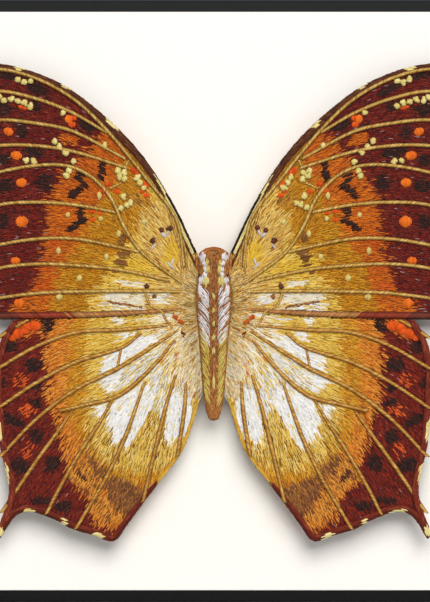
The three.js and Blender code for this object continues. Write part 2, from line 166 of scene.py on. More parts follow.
MIXES = {
    # The rare pale shade of the maroon mixes makes pale flecks, which also stand in for the thread's glints
    # as a painted highlight.
    "maroon": [(0.45, 122, 32, 22), (0.25, 100, 24, 19), (0.19, 142, 50, 30), (0.095, 64, 26, 21),
               (0.015, 168, 130, 128)],
    "hind_maroon": [(0.46, 133, 35, 22), (0.25, 110, 27, 20), (0.2, 154, 54, 31), (0.085, 70, 28, 21),
                    (0.005, 168, 130, 128)],
    "orange": [(0.5, 200, 101, 20), (0.2, 186, 87, 18), (0.2, 214, 120, 30), (0.1, 164, 78, 20)],
    "ember": [(0.6, 206, 96, 24), (0.4, 192, 84, 22)],
    "ochre": [(0.5, 190, 127, 18), (0.27, 206, 150, 38), (0.23, 174, 107, 16)],
    "hind_ochre": [(0.5, 208, 145, 32), (0.25, 218, 164, 56), (0.25, 190, 122, 26)],
    "yellow": [(0.52, 224, 183, 72), (0.24, 234, 206, 118), (0.2, 208, 160, 46), (0.04, 166, 112, 44)],
    "tan": [(0.5, 214, 174, 86), (0.22, 228, 198, 120), (0.16, 200, 152, 62), (0.12, 166, 106, 42)],
    "sun": [(0.7, 225, 184, 62), (0.3, 209, 164, 48)],
    "base": [(0.33, 237, 215, 150), (0.24, 227, 192, 104), (0.31, 237, 232, 223), (0.08, 184, 132, 64),
             (0.04, 212, 116, 46)],
    "mixed": [(0.42, 234, 231, 226), (0.4, 228, 201, 118), (0.14, 218, 212, 206), (0.04, 196, 150, 70)],
    "striped": [(0.45, 219, 180, 78), (0.25, 233, 205, 124), (0.16, 200, 150, 44), (0.14, 144, 96, 42)],
    "lemon": [(0.5, 220, 180, 70), (0.3, 231, 201, 108), (0.2, 206, 158, 48)],
    "white": [(0.62, 235, 232, 228), (0.29, 228, 225, 221), (0.09, 226, 202, 128)],
    "ivory": [(0.64, 228, 216, 188), (0.28, 216, 208, 188), (0.08, 206, 172, 94)],
    "lilac": [(0.6, 238, 234, 233), (0.4, 222, 217, 217)],
    "hook_grey": [(0.6, 214, 206, 204), (0.4, 196, 186, 184)],
    "dark": [(0.7, 48, 30, 25), (0.3, 70, 36, 28)],
    "knot_brown": [(0.6, 104, 56, 38), (0.4, 82, 42, 30)],
    "cell_brown": [(0.7, 146, 95, 46), (0.3, 126, 78, 37)],
    "hem_brown": [(0.45, 142, 90, 50), (0.3, 117, 70, 40), (0.25, 168, 108, 54)],
    "flecked": [(0.4, 150, 96, 44), (0.6, 198, 140, 40)],
    "spark": [(0.5, 228, 98, 36), (0.5, 112, 34, 24)],
    "amber": [(0.5, 226, 154, 58), (0.3, 208, 130, 44), (0.2, 140, 86, 42)],
    "bright": [(0.6, 236, 122, 34), (0.4, 224, 104, 28)],
    "red": [(0.6, 230, 96, 28), (0.4, 212, 80, 24)],
    "knot_cream": [(0.6, 216, 196, 114), (0.4, 228, 210, 136)],
    "stripe": [(0.5, 216, 200, 130), (0.25, 192, 172, 98), (0.25, 228, 214, 152)],
    "hind_orange": [(0.5, 220, 134, 42), (0.2, 204, 114, 34), (0.22, 230, 156, 62), (0.08, 178, 98, 32)],
    "cream": [(0.6, 226, 208, 132), (0.4, 234, 220, 160)],
    "gold": [(0.55, 186, 147, 74), (0.25, 164, 121, 53), (0.2, 206, 171, 98)],
    "deep_gold": [(0.55, 182, 132, 60), (0.25, 160, 108, 44), (0.2, 202, 158, 84)],
    "costa_brown": [(0.6, 92, 50, 29), (0.3, 75, 39, 25), (0.1, 118, 68, 40)],
    "costa_black": [(0.7, 34, 24, 22), (0.3, 52, 34, 28)],
    "border_red": [(0.6, 123, 46, 29), (0.22, 103, 36, 23), (0.18, 145, 65, 44)],
    # Deeper red for the hem's outer rows: a painted shade.
    "hem_painted_shade": [(0.6, 98, 35, 21), (0.4, 84, 29, 18)],
    "inner_gold": [(0.6, 216, 172, 66), (0.4, 198, 148, 48)],
    "seam_dark": [(1.0, 104, 48, 36)],
    "seam_red": [(0.7, 137, 54, 34), (0.3, 116, 44, 28)],
    "seam_tan": [(0.6, 172, 119, 69), (0.4, 150, 99, 53)],
    "line_brown": [(1.0, 158, 96, 54)],
    "arch": [(0.6, 190, 120, 62), (0.4, 172, 104, 50)],
    "body_brown": [(0.55, 174, 113, 58), (0.28, 149, 93, 46), (0.17, 196, 136, 76)],
    "root_gold": [(0.42, 230, 193, 114), (0.24, 210, 163, 76), (0.23, 238, 221, 174), (0.11, 164, 108, 46)],
    "body_green": [(0.6, 206, 182, 84), (0.4, 218, 198, 110)],
}
print(len(MIXES), "mixes:", ", ".join(MIXES))

# %% [markdown]
# ## Drawing a shade for each stitch
# Handwork looks alive because no two stitches are quite alike. Each stitch draws its shade by the mix's
# shares, and is then made a little lighter or darker. All chance in this lesson comes from one seeded
# source, so every run gives the same picture.

# %% Dye and draw
DYE = 0.93
SHADES = {}
for name, mix in MIXES.items():
    shares = np.array([part[0] for part in mix])
    SHADES[name] = (shares, DYE * np.array([shade(*part[1:]) for part in mix]))
SEED = 11
rng = np.random.default_rng(SEED)


def draw_shades(mix, count, spread=0.12):
    """One shade for each stitch, drawn by the mix's shares, then lighter or darker by up to the spread."""
    share, colours = SHADES[mix]
    pick = rng.choice(len(share), size=count, p=share / share.sum())
    return colours[pick] * rng.uniform(1 - spread, 1 + spread, (count, 1))


print("shades in all:", sum(len(shares) for shares, _ in SHADES.values()))

# %% [markdown]
# ## A smooth line through points
# Wing edges and veins are smooth curves through a few measured points. Blender's own curves could be used,
# but stitches need to know the length along the line and its direction at any place. A centripetal
# Catmull-Rom curve passes through every point without loops, and cutting it into even steps lets stitches
# be spaced by length.

# %% Smooth paths
CUTS = 24


def smooth_path(points, step=0.5):
    """Centripetal Catmull-Rom: each stretch blends its four nearest points, straight line by straight line.

    The blend runs over knots that lie the square root of the points' distance apart.
    """
    p = np.asarray(points, float)
    p = np.vstack([2 * p[0] - p[1], p, 2 * p[-1] - p[-2]])
    knot = np.concatenate([[0], np.cumsum(np.linalg.norm(np.diff(p, axis=0), axis=1) ** 0.5)])
    i = np.arange(1, len(p) - 2)
    t0, t1, t2, t3 = (knot[i + k][:, None, None] for k in (-1, 0, 1, 2))
    p0, p1, p2, p3 = (p[i + k][:, None, :] for k in (-1, 0, 1, 2))
    t = t1 + (t2 - t1) * np.linspace(0, 1, CUTS, endpoint=False)[None, :, None]
    a1 = ((t1 - t) * p0 + (t - t0) * p1) / (t1 - t0)
    a2 = ((t2 - t) * p1 + (t - t1) * p2) / (t2 - t1)
    a3 = ((t3 - t) * p2 + (t - t2) * p3) / (t3 - t2)
    b1 = ((t2 - t) * a1 + (t - t0) * a2) / (t2 - t0)
    b2 = ((t3 - t) * a2 + (t - t1) * a3) / (t3 - t1)
    curve = np.vstack([(((t2 - t) * b1 + (t - t1) * b2) / (t2 - t1)).reshape(-1, 2), p[-2]])
    run = np.concatenate([[0], np.cumsum(np.linalg.norm(np.diff(curve, axis=0), axis=1))])
    even = np.linspace(0, run[-1], max(2, round(run[-1] / step) + 1))
    return np.stack([np.interp(even, run, curve[:, k]) for k in (0, 1)], axis=1)


def along_path(path, run):
    """The point and the unit direction at each run length of a path with even steps."""
    lengths = np.concatenate([[0], np.cumsum(np.linalg.norm(np.diff(path, axis=0), axis=1))])
    heading = np.gradient(path, axis=0)
    heading /= np.linalg.norm(heading, axis=1, keepdims=True)
    at = [np.interp(run, lengths, part[:, k]) for part in (path, heading) for k in (0, 1)]
    return np.stack(at[:2], axis=-1), np.stack(at[2:], axis=-1)


def path_length(path):
    """The sum of the path's steps."""
    return np.linalg.norm(np.diff(path, axis=0), axis=1).sum()


bent = smooth_path([(0, 0), (5, 1), (10, 0)])
print(f"a slightly bent line over 10 mm: {len(bent)} points, {path_length(bent):.2f} mm long")

# %% [markdown]
# ## Wing edges and veins
# A wing's outline is four or five edges in a row, most of them with a border of their own later on. The
# veins are listed from the wing's edge inwards, and turned round so that they run outwards from the root.
# They are the same points that the solid wings have, but for a few veins that end or run a little
# differently here.

# %% Wing edges
FOREWING = {
    "costa": [(5.8, 16.4), (13.9, 33.3), (25.3, 50.7), (40, 65.3), (54, 74.8), (72.7, 80.4), (87, 79.4),
              (98, 74.4), (104, 66)],
    "margin": [(104, 66), (99, 56), (93.4, 42), (90, 28), (88, 14), (85.6, 2), (80.5, -6.1)],
    "seam": [(80.5, -6.1), (55, -5.9), (38.7, -5.6), (20, -4.6), (6.6, -3.3)],
    "root": [(6.6, -3.3), (6.5, 2), (5.8, 9), (5.8, 16.4)],
}
HINDWING = {
    "seam": [(6.6, -3.8), (20, -5.1), (38.7, -6.1), (55, -6.4), (68.2, -6.6)],
    "margin": [(68.2, -6.6), (72.3, -13.8), (73.9, -23), (73.6, -36), (72.4, -49), (69.4, -64), (70.6, -70),
               (73.7, -78.5)],
    "hem": [(73.7, -78.5), (72.6, -80.6), (69.5, -75.7), (66.4, -72.4), (62.2, -71.4), (53.9, -74.1),
            (47.7, -77.3), (40.4, -79.5), (34.4, -81.5)],
    "inner": [(34.4, -81.5), (32.2, -80.2), (30.1, -77), (20.2, -63.5), (10.6, -50.7), (6.1, -38.2),
              (4.3, -31.5)],
    "root": [(4.3, -31.5), (4.9, -20), (5.7, -10.5), (6.6, -3.8)],
}
OUTLINES = {name: np.vstack([smooth_path(edge)[:-1] for edge in wing.values()])
            for name, wing in (("forewing", FOREWING), ("hindwing", HINDWING))}
for name, outline in OUTLINES.items():
    print(f"{name} edge {path_length(outline):.0f} mm")

# %% Veins
FOREWING_VEINS = [
    [(101, 68.2), (86, 77.6), (72.6, 78.8), (60.3, 75.7), (48.1, 69.1), (37.6, 59.6), (22.6, 41.5),
     (12.6, 27.7), (10, 12.2)],
    [(101.5, 62), (86, 69), (72.7, 71.3), (60.5, 68.9), (48.4, 64.3), (36.5, 57.5)],
    [(97.5, 54), (85, 59.6), (72.7, 61.6), (60.5, 60.5), (48.4, 58), (30.2, 48.6)],
    [(94.2, 45), (84, 50.6), (72.7, 52.9), (60.5, 52.9), (48.4, 51.1), (29.5, 45.4)],
    [(91.5, 36), (72.7, 43.9), (51.4, 46.3), (42.3, 42.9), (35, 35.5), (30.5, 25.8), (24.7, 17.1),
     (11, 6.5)],
    [(89.4, 26.5), (72.7, 32.8), (59.6, 33.7), (46.6, 32.8), (33.6, 30.4)],
    [(87.7, 15.5), (72.7, 19.3), (59.6, 21.3), (46.6, 21.3), (25.6, 17)],
    [(86.2, 7.5), (72.7, 11.4), (59.6, 12.8), (46.6, 12.3), (32.2, 10.9), (15.2, 7.2)],
    [(84, -0.5), (72.7, 1.3), (59.6, 2.9), (46.6, 3.4), (28.9, 3.6), (12, 3.4)],
]
HINDWING_VEINS = [
    [(72.9, -12.5), (68.6, -9.4), (63, -6.4)],
    [(73.5, -23), (59.6, -15.1), (46.6, -10.6), (32.2, -9.7), (15.9, -8.3)],
    [(73.5, -36.5), (59.6, -27.3), (46.6, -20.6), (30.5, -15.4), (24.7, -10.9)],
    [(72.5, -52.8), (59.6, -39.5), (46.6, -29.8), (32.2, -22.6), (12.6, -10.2)],
    [(71.8, -71.5), (61.1, -55.6), (54.4, -46.3), (47.9, -37.2)],
    [(51.9, -37.1), (43.4, -35.1), (32.2, -32), (20.8, -22.3), (13.4, -13.4)],
    [(56.8, -72.3), (52.9, -64.5), (45, -50.7), (38.5, -40.8), (34.4, -33.7)],
    [(46.8, -77.3), (43.7, -72.1), (36, -58.9), (29.9, -45.7), (23.4, -27.5)],
    [(24, -68), (19.9, -50.7), (16.2, -35.6), (13, -25.2)],
    [(12.2, -51.9), (10, -37.2), (9.4, -27.5)],
]
VEINS = {"forewing": [smooth_path(v[::-1]) for v in FOREWING_VEINS],
         "hindwing": [smooth_path(v[::-1]) for v in HINDWING_VEINS]}
for name, veins in VEINS.items():
    print(f"{name}: {len(veins)} veins, {sum(map(path_length, veins)):.0f} mm in all")

# %% [markdown]
# ## One thread
# A stitch is a short spindle: it rises out of one hole, lies on the cloth and sinks into the next hole. Its
# middle line has a point at each hole and two or more points between, with three or four corners around
# each of those. Hair curves could show threads too, but the export drops them. A spindle of 12 to 24
# triangles keeps tens of thousands of stitches light, and all of them are worked out as one array.

# %% Thread mesh
CORNERS = {4: np.array([(1, 0), (0, 1), (-1, 0), (0, -1)]), 3: np.array([(1, 0), (-0.6, 1), (-0.6, -1)])}


def thread_faces(rings, corners):
    """Triangles of one stitch: a fan at each hole and two triangles for each side between two rings."""
    j = np.arange(corners)
    k = (j + 1) % corners
    row = 1 + corners * np.arange(rings - 1)[:, None]
    top = 1 + corners * (rings - 1)
    first = np.stack([0 * j, 1 + k, 1 + j], axis=1)
    lower = np.stack([row + j, row + k, row + k + corners], axis=-1).reshape(-1, 3)
    upper = np.stack([row + j, row + k + corners, row + j + corners], axis=-1).reshape(-1, 3)
    last = np.stack([0 * j + top + corners, top + j, top + k], axis=1)
    return np.concatenate([first, lower, upper, last])


def threads(spine, out, half_width, half_height, colours, hole_painted_shade=0.8, corners=4, crown=1.0):
    """Corners of each stitch: the middle line plus half_height along out and half_width across.

    spine is (stitch, point, xyz) in metres and out is the direction away from the cloth; widths are in mm.
    Both ends close in a point at the holes. There the colour is darkened by hole_painted_shade, a painted
    shade, and halfway it is lightened by crown, a painted highlight.
    """
    count, knots, _ = spine.shape
    lay = np.gradient(spine, axis=1)
    lay /= np.linalg.norm(lay, axis=2, keepdims=True)
    across = np.cross(lay, np.broadcast_to(out, spine.shape))
    across /= np.linalg.norm(across, axis=2, keepdims=True)
    rise = np.cross(across, lay)
    wide = np.broadcast_to(half_width, count)[:, None, None, None] * MM
    high = np.broadcast_to(half_height, count)[:, None, None, None] * MM
    section = CORNERS[corners]
    rings = (spine[:, 1:-1, None] + section[:, :1] * high * rise[:, 1:-1, None]
             + section[:, 1:] * wide * across[:, 1:-1, None])
    points = np.concatenate([spine[:, :1], rings.reshape(count, -1, 3), spine[:, -1:]], axis=1)
    share = np.concatenate([[0], np.repeat(np.linspace(0.2, 0.8, knots - 2), corners), [1]])
    corner = np.concatenate([[0.5], np.tile(0.5 + 0.35 * section[:, 1], knots - 2), [0.5]])
    # Painted shade towards the holes and painted highlight halfway, multiplied into each stitch's colour.
    hole = np.broadcast_to(hole_painted_shade, count)[:, None]
    near_end = np.abs(2 * share - 1)
    painted_light = 1 + (hole - 1) * np.interp(near_end, (0.6, 1), (0, 1))
    painted_light = painted_light + (crown - 1) * np.interp(near_end, (0, 0.6), (1, 0))
    length = np.linalg.norm(np.diff(spine, axis=1), axis=2).sum(axis=1) / MM
    return {"points": points, "faces": thread_faces(knots - 2, corners),
            "colours": colours[:, None] * painted_light[..., None], "along": length[:, None] * share,
            "cell": np.stack([share, corner], axis=1)}


print("triangles in a short stitch, by corners:", {n: len(thread_faces(2, n)) for n in CORNERS})

# %% [markdown]
# ## A piece made of many threads
# All the stitches of a piece become one mesh at the origin. Each stitch has one colour, kept as an
# attribute, and a second attribute gives the run along the thread for its twist. A UV map gives every
# stitch a small cell of its own, so that a colour picture baked through it keeps the threads apart.

# %% Stitched pieces
def new_piece(name, points, faces, material):
    """A smooth-shaded mesh of triangles at the origin, with its place in its points."""
    mesh = bpy.data.meshes.new(name)
    mesh.vertices.add(len(points))
    mesh.vertices.foreach_set("co", np.ascontiguousarray(points, np.float32).ravel())
    mesh.loops.add(faces.size)
    mesh.loops.foreach_set("vertex_index", faces.astype(np.int32).ravel())
    mesh.polygons.add(len(faces))
    mesh.polygons.foreach_set("loop_start", np.arange(0, faces.size, 3, dtype=np.int32))
    mesh.polygons.foreach_set("use_smooth", np.full(len(faces), True))
    mesh.update(calc_edges=True)
    mesh.materials.append(material)
    piece = bpy.data.objects.new(name, mesh)
    bpy.context.collection.objects.link(piece)
    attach(piece, "root")
    return piece


def stitched_piece(name, groups, material):
    """One mesh of many stitches, with a colour, the run along the thread and a map cell for each stitch."""
    total = sum(len(g["points"]) for g in groups)
    grid = int(np.ceil(np.sqrt(total)))
    points, faces, colours, along, cells = [], [], [], [], []
    start, number = 0, 0
    for g in groups:
        count, corners = g["points"].shape[:2]
        first = start + corners * np.arange(count)[:, None, None]
        faces.append((g["faces"][None] + first).reshape(-1, 3))
        index = number + np.arange(count)
        corner_of_cell = np.stack([index % grid, index // grid], axis=1)[:, None]
        cells.append(((corner_of_cell + 0.15 + 0.7 * g["cell"]) / grid).reshape(-1, 2))
        points.append(g["points"].reshape(-1, 3))
        colours.append(np.broadcast_to(g["colours"], g["points"].shape).reshape(-1, 3))
        along.append(np.broadcast_to(g["along"], g["points"].shape[:2]).ravel())
        start += count * corners
        number += count
    points, faces = np.concatenate(points), np.concatenate(faces)
    piece = new_piece(name, points, faces, material)
    colour = np.concatenate([np.concatenate(colours), np.ones((len(points), 1))], axis=1)
    thread = piece.data.color_attributes.new("thread", "FLOAT_COLOR", "POINT")
    thread.data.foreach_set("color", colour.ravel())
    twist = piece.data.attributes.new("along", "FLOAT", "POINT")
    twist.data.foreach_set("value", np.concatenate(along))
    uv = np.concatenate(cells)[faces.ravel()]
    piece.data.uv_layers.new(name="OFBake").data.foreach_set("uv", uv.ravel())
    print(f"{name}: {total} stitches, {len(faces)} triangles")
    return piece


print("each stitched piece carries the attributes thread and along, and the map OFBake")

# %% [markdown]
# ## Grain for every finish
# No real surface is one flat colour. Fine unevenness is shared by all the finishes, so it is a node group:
# it gives a mask that varies over the surface at a chosen size, and each finish uses the mask in its own
# way for colour, roughness or bump.

# %% Shared unevenness
def grain_group():
    """A node group: noise at Size grains per metre, with a ten times coarser noise mixed in by Cloudy."""
    group = bpy.data.node_groups.new("grain", "ShaderNodeTree")
    for name, start in (("Size", 2000.0), ("Cloudy", 0.3)):
        socket = group.interface.new_socket(name, in_out="INPUT", socket_type="NodeSocketFloat")
        socket.default_value = start
    group.interface.new_socket("Mask", in_out="OUTPUT", socket_type="NodeSocketFloat")
    n, link = group.nodes, group.links.new
    inputs, output, where = n.new("NodeGroupInput"), n.new("NodeGroupOutput"), n.new("ShaderNodeTexCoord")
    fine, cloud, mix = n.new("ShaderNodeTexNoise"), n.new("ShaderNodeTexNoise"), n.new("ShaderNodeMix")
    coarse = n.new("ShaderNodeMath")
    coarse.operation = "MULTIPLY"
    coarse.inputs[1].default_value = 0.1
    fine.inputs["Detail"].default_value = 3
    cloud.inputs["Detail"].default_value = 2
    link(where.outputs["Object"], fine.inputs["Vector"])
    link(where.outputs["Object"], cloud.inputs["Vector"])
    link(inputs.outputs["Size"], fine.inputs["Scale"])
    link(inputs.outputs["Size"], coarse.inputs[0])
    link(coarse.outputs[0], cloud.inputs["Scale"])
    link(inputs.outputs["Cloudy"], mix.inputs["Factor"])
    link(fine.outputs["Fac"], mix.inputs["A"])
    link(cloud.outputs["Fac"], mix.inputs["B"])
    link(mix.outputs["Result"], output.inputs["Mask"])
    return group


GRAIN = grain_group()
print("grain group:", [s.name for s in GRAIN.interface.items_tree])

# %% [markdown]
# ## Helpers for finishes
# Every finish starts from a Principled shader. These helpers add the nodes that most of them need: the
# grain with its own size, a colour ramp, a stretched range and a bump. Constants are set on the shader's
# sockets.

# %% Finish helpers
def finish(name):
    """An empty finish: its nodes, a function that links two sockets, and its Principled shader."""
    material = bpy.data.materials.new(name)
    material.use_nodes = True
    nodes, link = material.node_tree.nodes, material.node_tree.links.new
    return material, nodes, link, nodes["Principled BSDF"]


def add_grain(nodes, size, cloudy):
    """The grain group as a node, with its own size and cloudiness."""
    node = nodes.new("ShaderNodeGroup")
    node.node_tree = GRAIN
    node.inputs["Size"].default_value = size
    node.inputs["Cloudy"].default_value = cloudy
    return node.outputs["Mask"]


def ramp(nodes, link, mask, stops):
    """A colour ramp from (position, colour) stops, driven by a mask."""
    node = nodes.new("ShaderNodeValToRGB")
    elements = node.color_ramp.elements
    for element, (position, _) in zip((elements[0], elements[1]), (stops[0], stops[-1])):
        element.position = position
    for position, _ in stops[1:-1]:
        elements.new(position)
    for element, (_, colour) in zip(elements, stops):
        element.color = (*colour, 1)
    link(mask, node.inputs["Fac"])
    return node.outputs["Color"]


def span(nodes, link, mask, low, high):
    """The mask's middle range, 0.3 to 0.7, stretched to run from low to high."""
    node = nodes.new("ShaderNodeMapRange")
    for socket, value in (("From Min", 0.3), ("From Max", 0.7), ("To Min", low), ("To Max", high)):
        node.inputs[socket].default_value = value
    link(mask, node.inputs["Value"])
    return node.outputs["Result"]


def bump(nodes, link, height, strength, distance, shader):
    """A bump from a height mask, with its full depth in metres."""
    node = nodes.new("ShaderNodeBump")
    node.inputs["Strength"].default_value = strength
    node.inputs["Distance"].default_value = distance
    link(height, node.inputs["Height"])
    link(node.outputs["Normal"], shader.inputs["Normal"])


print("finish helpers ready, with grain group", GRAIN.name)

# %% [markdown]
# ## Cotton thread
# Stranded cotton has a soft sheen and a fine twist. The stitch's own colour comes from its attribute, fine
# grain makes it a little uneven, and the twist is a wave along the thread that only lifts the surface.
# Modelling each strand would cost far too many triangles for something half a pixel wide.

# %% Cotton
TWIST = 0.5


def cotton():
    """Stitch colour times grain, with the twist as a sine along the thread, one turn each TWIST mm."""
    material, nodes, link, shader = finish("stranded_cotton")
    # The thread attribute is each stitch's colour with painted shade at its holes and painted highlight
    # halfway.
    colour, run = nodes.new("ShaderNodeAttribute"), nodes.new("ShaderNodeAttribute")
    colour.attribute_name, run.attribute_name = "thread", "along"
    mask = add_grain(nodes, 5200, 0.25)
    tint = nodes.new("ShaderNodeVectorMath")
    tint.operation = "SCALE"
    link(colour.outputs["Color"], tint.inputs[0])
    link(span(nodes, link, mask, 0.8, 1.2), tint.inputs["Scale"])
    link(tint.outputs["Vector"], shader.inputs["Base Color"])
    link(span(nodes, link, mask, 0.42, 0.62), shader.inputs["Roughness"])
    wave = nodes.new("ShaderNodeMath")
    wave.operation = "MULTIPLY"
    wave.inputs[1].default_value = 2 * np.pi / TWIST
    turn = nodes.new("ShaderNodeMath")
    turn.operation = "SINE"
    link(run.outputs["Fac"], wave.inputs[0])
    link(wave.outputs[0], turn.inputs[0])
    rough = nodes.new("ShaderNodeMath")
    rough.operation = "MULTIPLY_ADD"
    rough.inputs[1].default_value = 0.25
    link(turn.outputs[0], rough.inputs[0])
    link(mask, rough.inputs[2])
    bump(nodes, link, rough.outputs[0], 0.35, 0.00012, shader)
    shader.inputs["Sheen Weight"].default_value = 0.03
    shader.inputs["Sheen Roughness"].default_value = 0.4
    shader.inputs["Specular IOR Level"].default_value = 0.13
    return material


COTTON = cotton()
print("finish:", COTTON.name)

# %% [markdown]
# ## Paint under the stitches
# Between the stitches a little cloth shows. It is painted in the wing's colours first, so that gaps don't
# shine through: pale by the body, ochre halfway and maroon at the edge. The colour follows the distance
# from the body's middle, which is close enough for something seen only in gaps.

# %% Painted cloth
def painted_cloth(name, squash, stops):
    """Colours by distance from the body's middle in tenths of a metre, heights squashed, and a grain."""
    material, nodes, link, shader = finish(name)
    where = nodes.new("ShaderNodeTexCoord")
    apart, scaled, far = (nodes.new("ShaderNodeVectorMath") for _ in range(3))
    apart.operation, scaled.operation, far.operation = "SUBTRACT", "MULTIPLY", "LENGTH"
    apart.inputs[1].default_value = (0, 0, PICTURE_MIDDLE * MM)
    scaled.inputs[1].default_value = (10, 0, 10 * squash)
    link(where.outputs["Object"], apart.inputs[0])
    link(apart.outputs["Vector"], scaled.inputs[0])
    link(scaled.outputs["Vector"], far.inputs[0])
    dyed = [(at, DYE * colour) for at, colour in stops]
    link(ramp(nodes, link, far.outputs["Value"], dyed), shader.inputs["Base Color"])
    mask = add_grain(nodes, 3000, 0.2)
    link(span(nodes, link, mask, 0.75, 0.95), shader.inputs["Roughness"])
    bump(nodes, link, mask, 0.4, 0.0002, shader)
    return material


PAINTED_CLOTH = {
    "forewing": painted_cloth("forewing_painted_cloth", 0.8, [
        (0.2, shade(206, 166, 86)), (0.36, shade(204, 156, 56)), (0.46, shade(180, 120, 34)),
        (0.56, shade(180, 92, 28)), (0.63, shade(90, 28, 21))]),
    "hindwing": painted_cloth("hindwing_painted_cloth", 0.6, [
        (0.18, shade(214, 190, 126)), (0.3, shade(226, 216, 190)), (0.4, shade(210, 166, 68)),
        (0.48, shade(198, 138, 42)), (0.55, shade(200, 116, 42)), (0.6, shade(92, 30, 22))]),
    "body": painted_cloth("body_painted_cloth", 1.0, [(0.05, shade(130, 78, 40)), (0.4, shade(146, 90, 46))]),
}
print("painted cloths:", [material.name for material in PAINTED_CLOTH.values()])

# %% [markdown]
# ## The wings' cloth
# Each wing is cut from stiffened cloth that keeps it flat. It is the outline carried straight forward, with
# a back, a front and an edge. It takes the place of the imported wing, whose fused relief is now single
# threads.

# %% Cloth plates
FACE_GAP = 0.03


def cloth_plate(name, wing, side, node):
    """The outline carried from the wing's back to just under its face: two caps and a wall between them."""
    outline = OUTLINES[wing]
    count = len(outline)
    ring = np.arange(count)
    back = place(outline[:, 0], outline[:, 1], WING_BACK, side)
    front = place(outline[:, 0], outline[:, 1], WING_FACE - FACE_GAP, side)
    mesh = bpy.data.meshes.new(name)
    walls = np.stack([ring, (ring + 1) % count, count + (ring + 1) % count, count + ring], axis=1)
    turn = slice(None, None, side)
    faces = [wall[turn] for wall in walls.tolist()] + [ring.tolist()[::-side], (count + ring).tolist()[turn]]
    mesh.from_pydata(np.concatenate([back, front]), [], faces)
    mesh.update()
    mesh.materials.append(PAINTED_CLOTH[wing])
    piece = bpy.data.objects.new(name, mesh)
    bpy.context.collection.objects.link(piece)
    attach(piece, "root")
    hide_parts(node)
    return piece


for wing in OUTLINES:
    for half, side in SIDES.items():
        plate = cloth_plate(f"{wing}_cloth_{half}", wing, side, f"{wing}_{half}")
        print(plate.name, "faces", len(plate.data.polygons))

# %% [markdown]
# ## The fields of colour
# A wing is worked in bands around its root: pale, yellow, ochre, orange, then maroon. Each band's edge is a
# line of points, read as a distance from the root at each angle, so a stitch finds its band from its own
# angle and distance. A little scatter at the edge lets neighbouring shades interlock, as long and short
# stitch does. Each band also has its own stitch length.

# %% Bands
BANDS = {
    "forewing": {
        "root": (7, 4),
        "mixes": ["tan", "yellow", "ochre", "orange", "maroon"],
        "lengths": [4.0, 3.0, 2.4, 2.3, 1.9],
        "edges": [
            [(21.7, 32.6), (25, 29.2), (25.7, 22.4), (23.4, 17.3), (20, 13.3), (16.6, 8.8), (21.7, 3.7),
             (25, 0.3)],
            [(17, 44), (21.7, 39.4), (22.7, 32.6), (25.1, 29.2), (26, 24.8), (28.1, 20.7), (30.2, 16.7),
             (35, 13.3), (35.5, 8.8), (40.4, 3.7), (42.1, 0), (43, -4)],
            [(29, 52), (30.2, 49.6), (31.2, 45.2), (33.6, 41.1), (35.9, 36), (39.3, 32.6), (42.7, 29.2),
             (43.8, 22.4), (47.2, 17.3), (51.6, 12.2), (52.9, 3.7), (55, 0), (56, -4)],
            [(34, 62), (38.5, 55.5), (45.5, 47.9), (51.6, 41.8), (55.7, 34.3), (55.9, 24.1), (57.7, 16),
             (60.1, 5.4), (67.6, -0.7), (70, -4)],
        ],
    },
    "hindwing": {
        "root": (7, -9),
        "mixes": ["base", "lemon", "striped", "hind_ochre", "hind_orange", "hind_maroon"],
        "lengths": [3.6, 3.2, 3.4, 2.5, 2.3, 1.9],
        "edges": [
            [(21.7, -5.8), (22.3, -11.6), (21, -16.7), (18.9, -21.8), (16.6, -26.9), (13.2, -29.6),
             (8.1, -33.7)],
            [(41, -5.8), (42.9, -11), (42.9, -18), (42.5, -23), (42, -31), (38, -34), (30, -34.5), (24, -34),
             (18, -34), (13.5, -35), (9, -38)],
            [(41.5, -5.8), (43.4, -11), (43.4, -18), (43, -23), (42.5, -31), (43.6, -35.5), (42.5, -43),
             (41.4, -49), (37, -54.5), (31, -57.5), (25.1, -58.1), (20, -57.5), (14.9, -54.7)],
            [(48, -6.5), (49.5, -11.6), (48.9, -16.7), (49.9, -23.5), (49.9, -28.6), (49.9, -35.4),
             (48, -41), (45.5, -47), (43, -52), (40.4, -56), (37, -59.5), (31.9, -61.6), (25.1, -63.2),
             (20, -60.9)],
            [(59.3, -5.5), (58.4, -9.9), (56.3, -15), (57.4, -21.8), (55.3, -25.2), (57.2, -31),
             (55.7, -35.4), (52.9, -40.5), (52.3, -47.3), (50.6, -52.4), (49.5, -57.5), (48.2, -60.9),
             (45.5, -63.6), (42.5, -67), (41.3, -74.5), (37.7, -76.6), (31.4, -77.8), (26, -80)],
        ],
    },
}
print("bands:", {wing: b["mixes"] for wing, b in BANDS.items()})

# %% Finding the band
def from_root(points, root):
    """Distance and angle of points around a root."""
    away = np.asarray(points, float) - root
    return np.hypot(away[:, 0], away[:, 1]), np.arctan2(away[:, 1], away[:, 0])


def band_at(points, bands, scatter):
    """How many band edges a point has passed on its way out from the root, with its own scatter in mm."""
    far, angle = from_root(points, bands["root"])
    far = far + rng.normal(0, scatter, len(points))
    passed = np.zeros(len(points), int)
    for edge in bands["edges"]:
        reach, turn = from_root(edge, bands["root"])
        order = np.argsort(turn)
        passed += far > np.interp(angle, turn[order], reach[order])
    return passed


far, angle = from_root(BANDS["forewing"]["edges"][-1], BANDS["forewing"]["root"])
print(f"the forewing's maroon starts {far.min():.0f} to {far.max():.0f} mm from its root")

# %% [markdown]
# ## Marks inside the fields
# Dark patches and bright sparks break up the fields. Each mark is an ellipse: its middle, its two half
# sizes, a turn in degrees and a mix. Stitches inside take the mark's shades. The edge is ragged like the
# rest, because every stitch is tested with a little chance of its own.

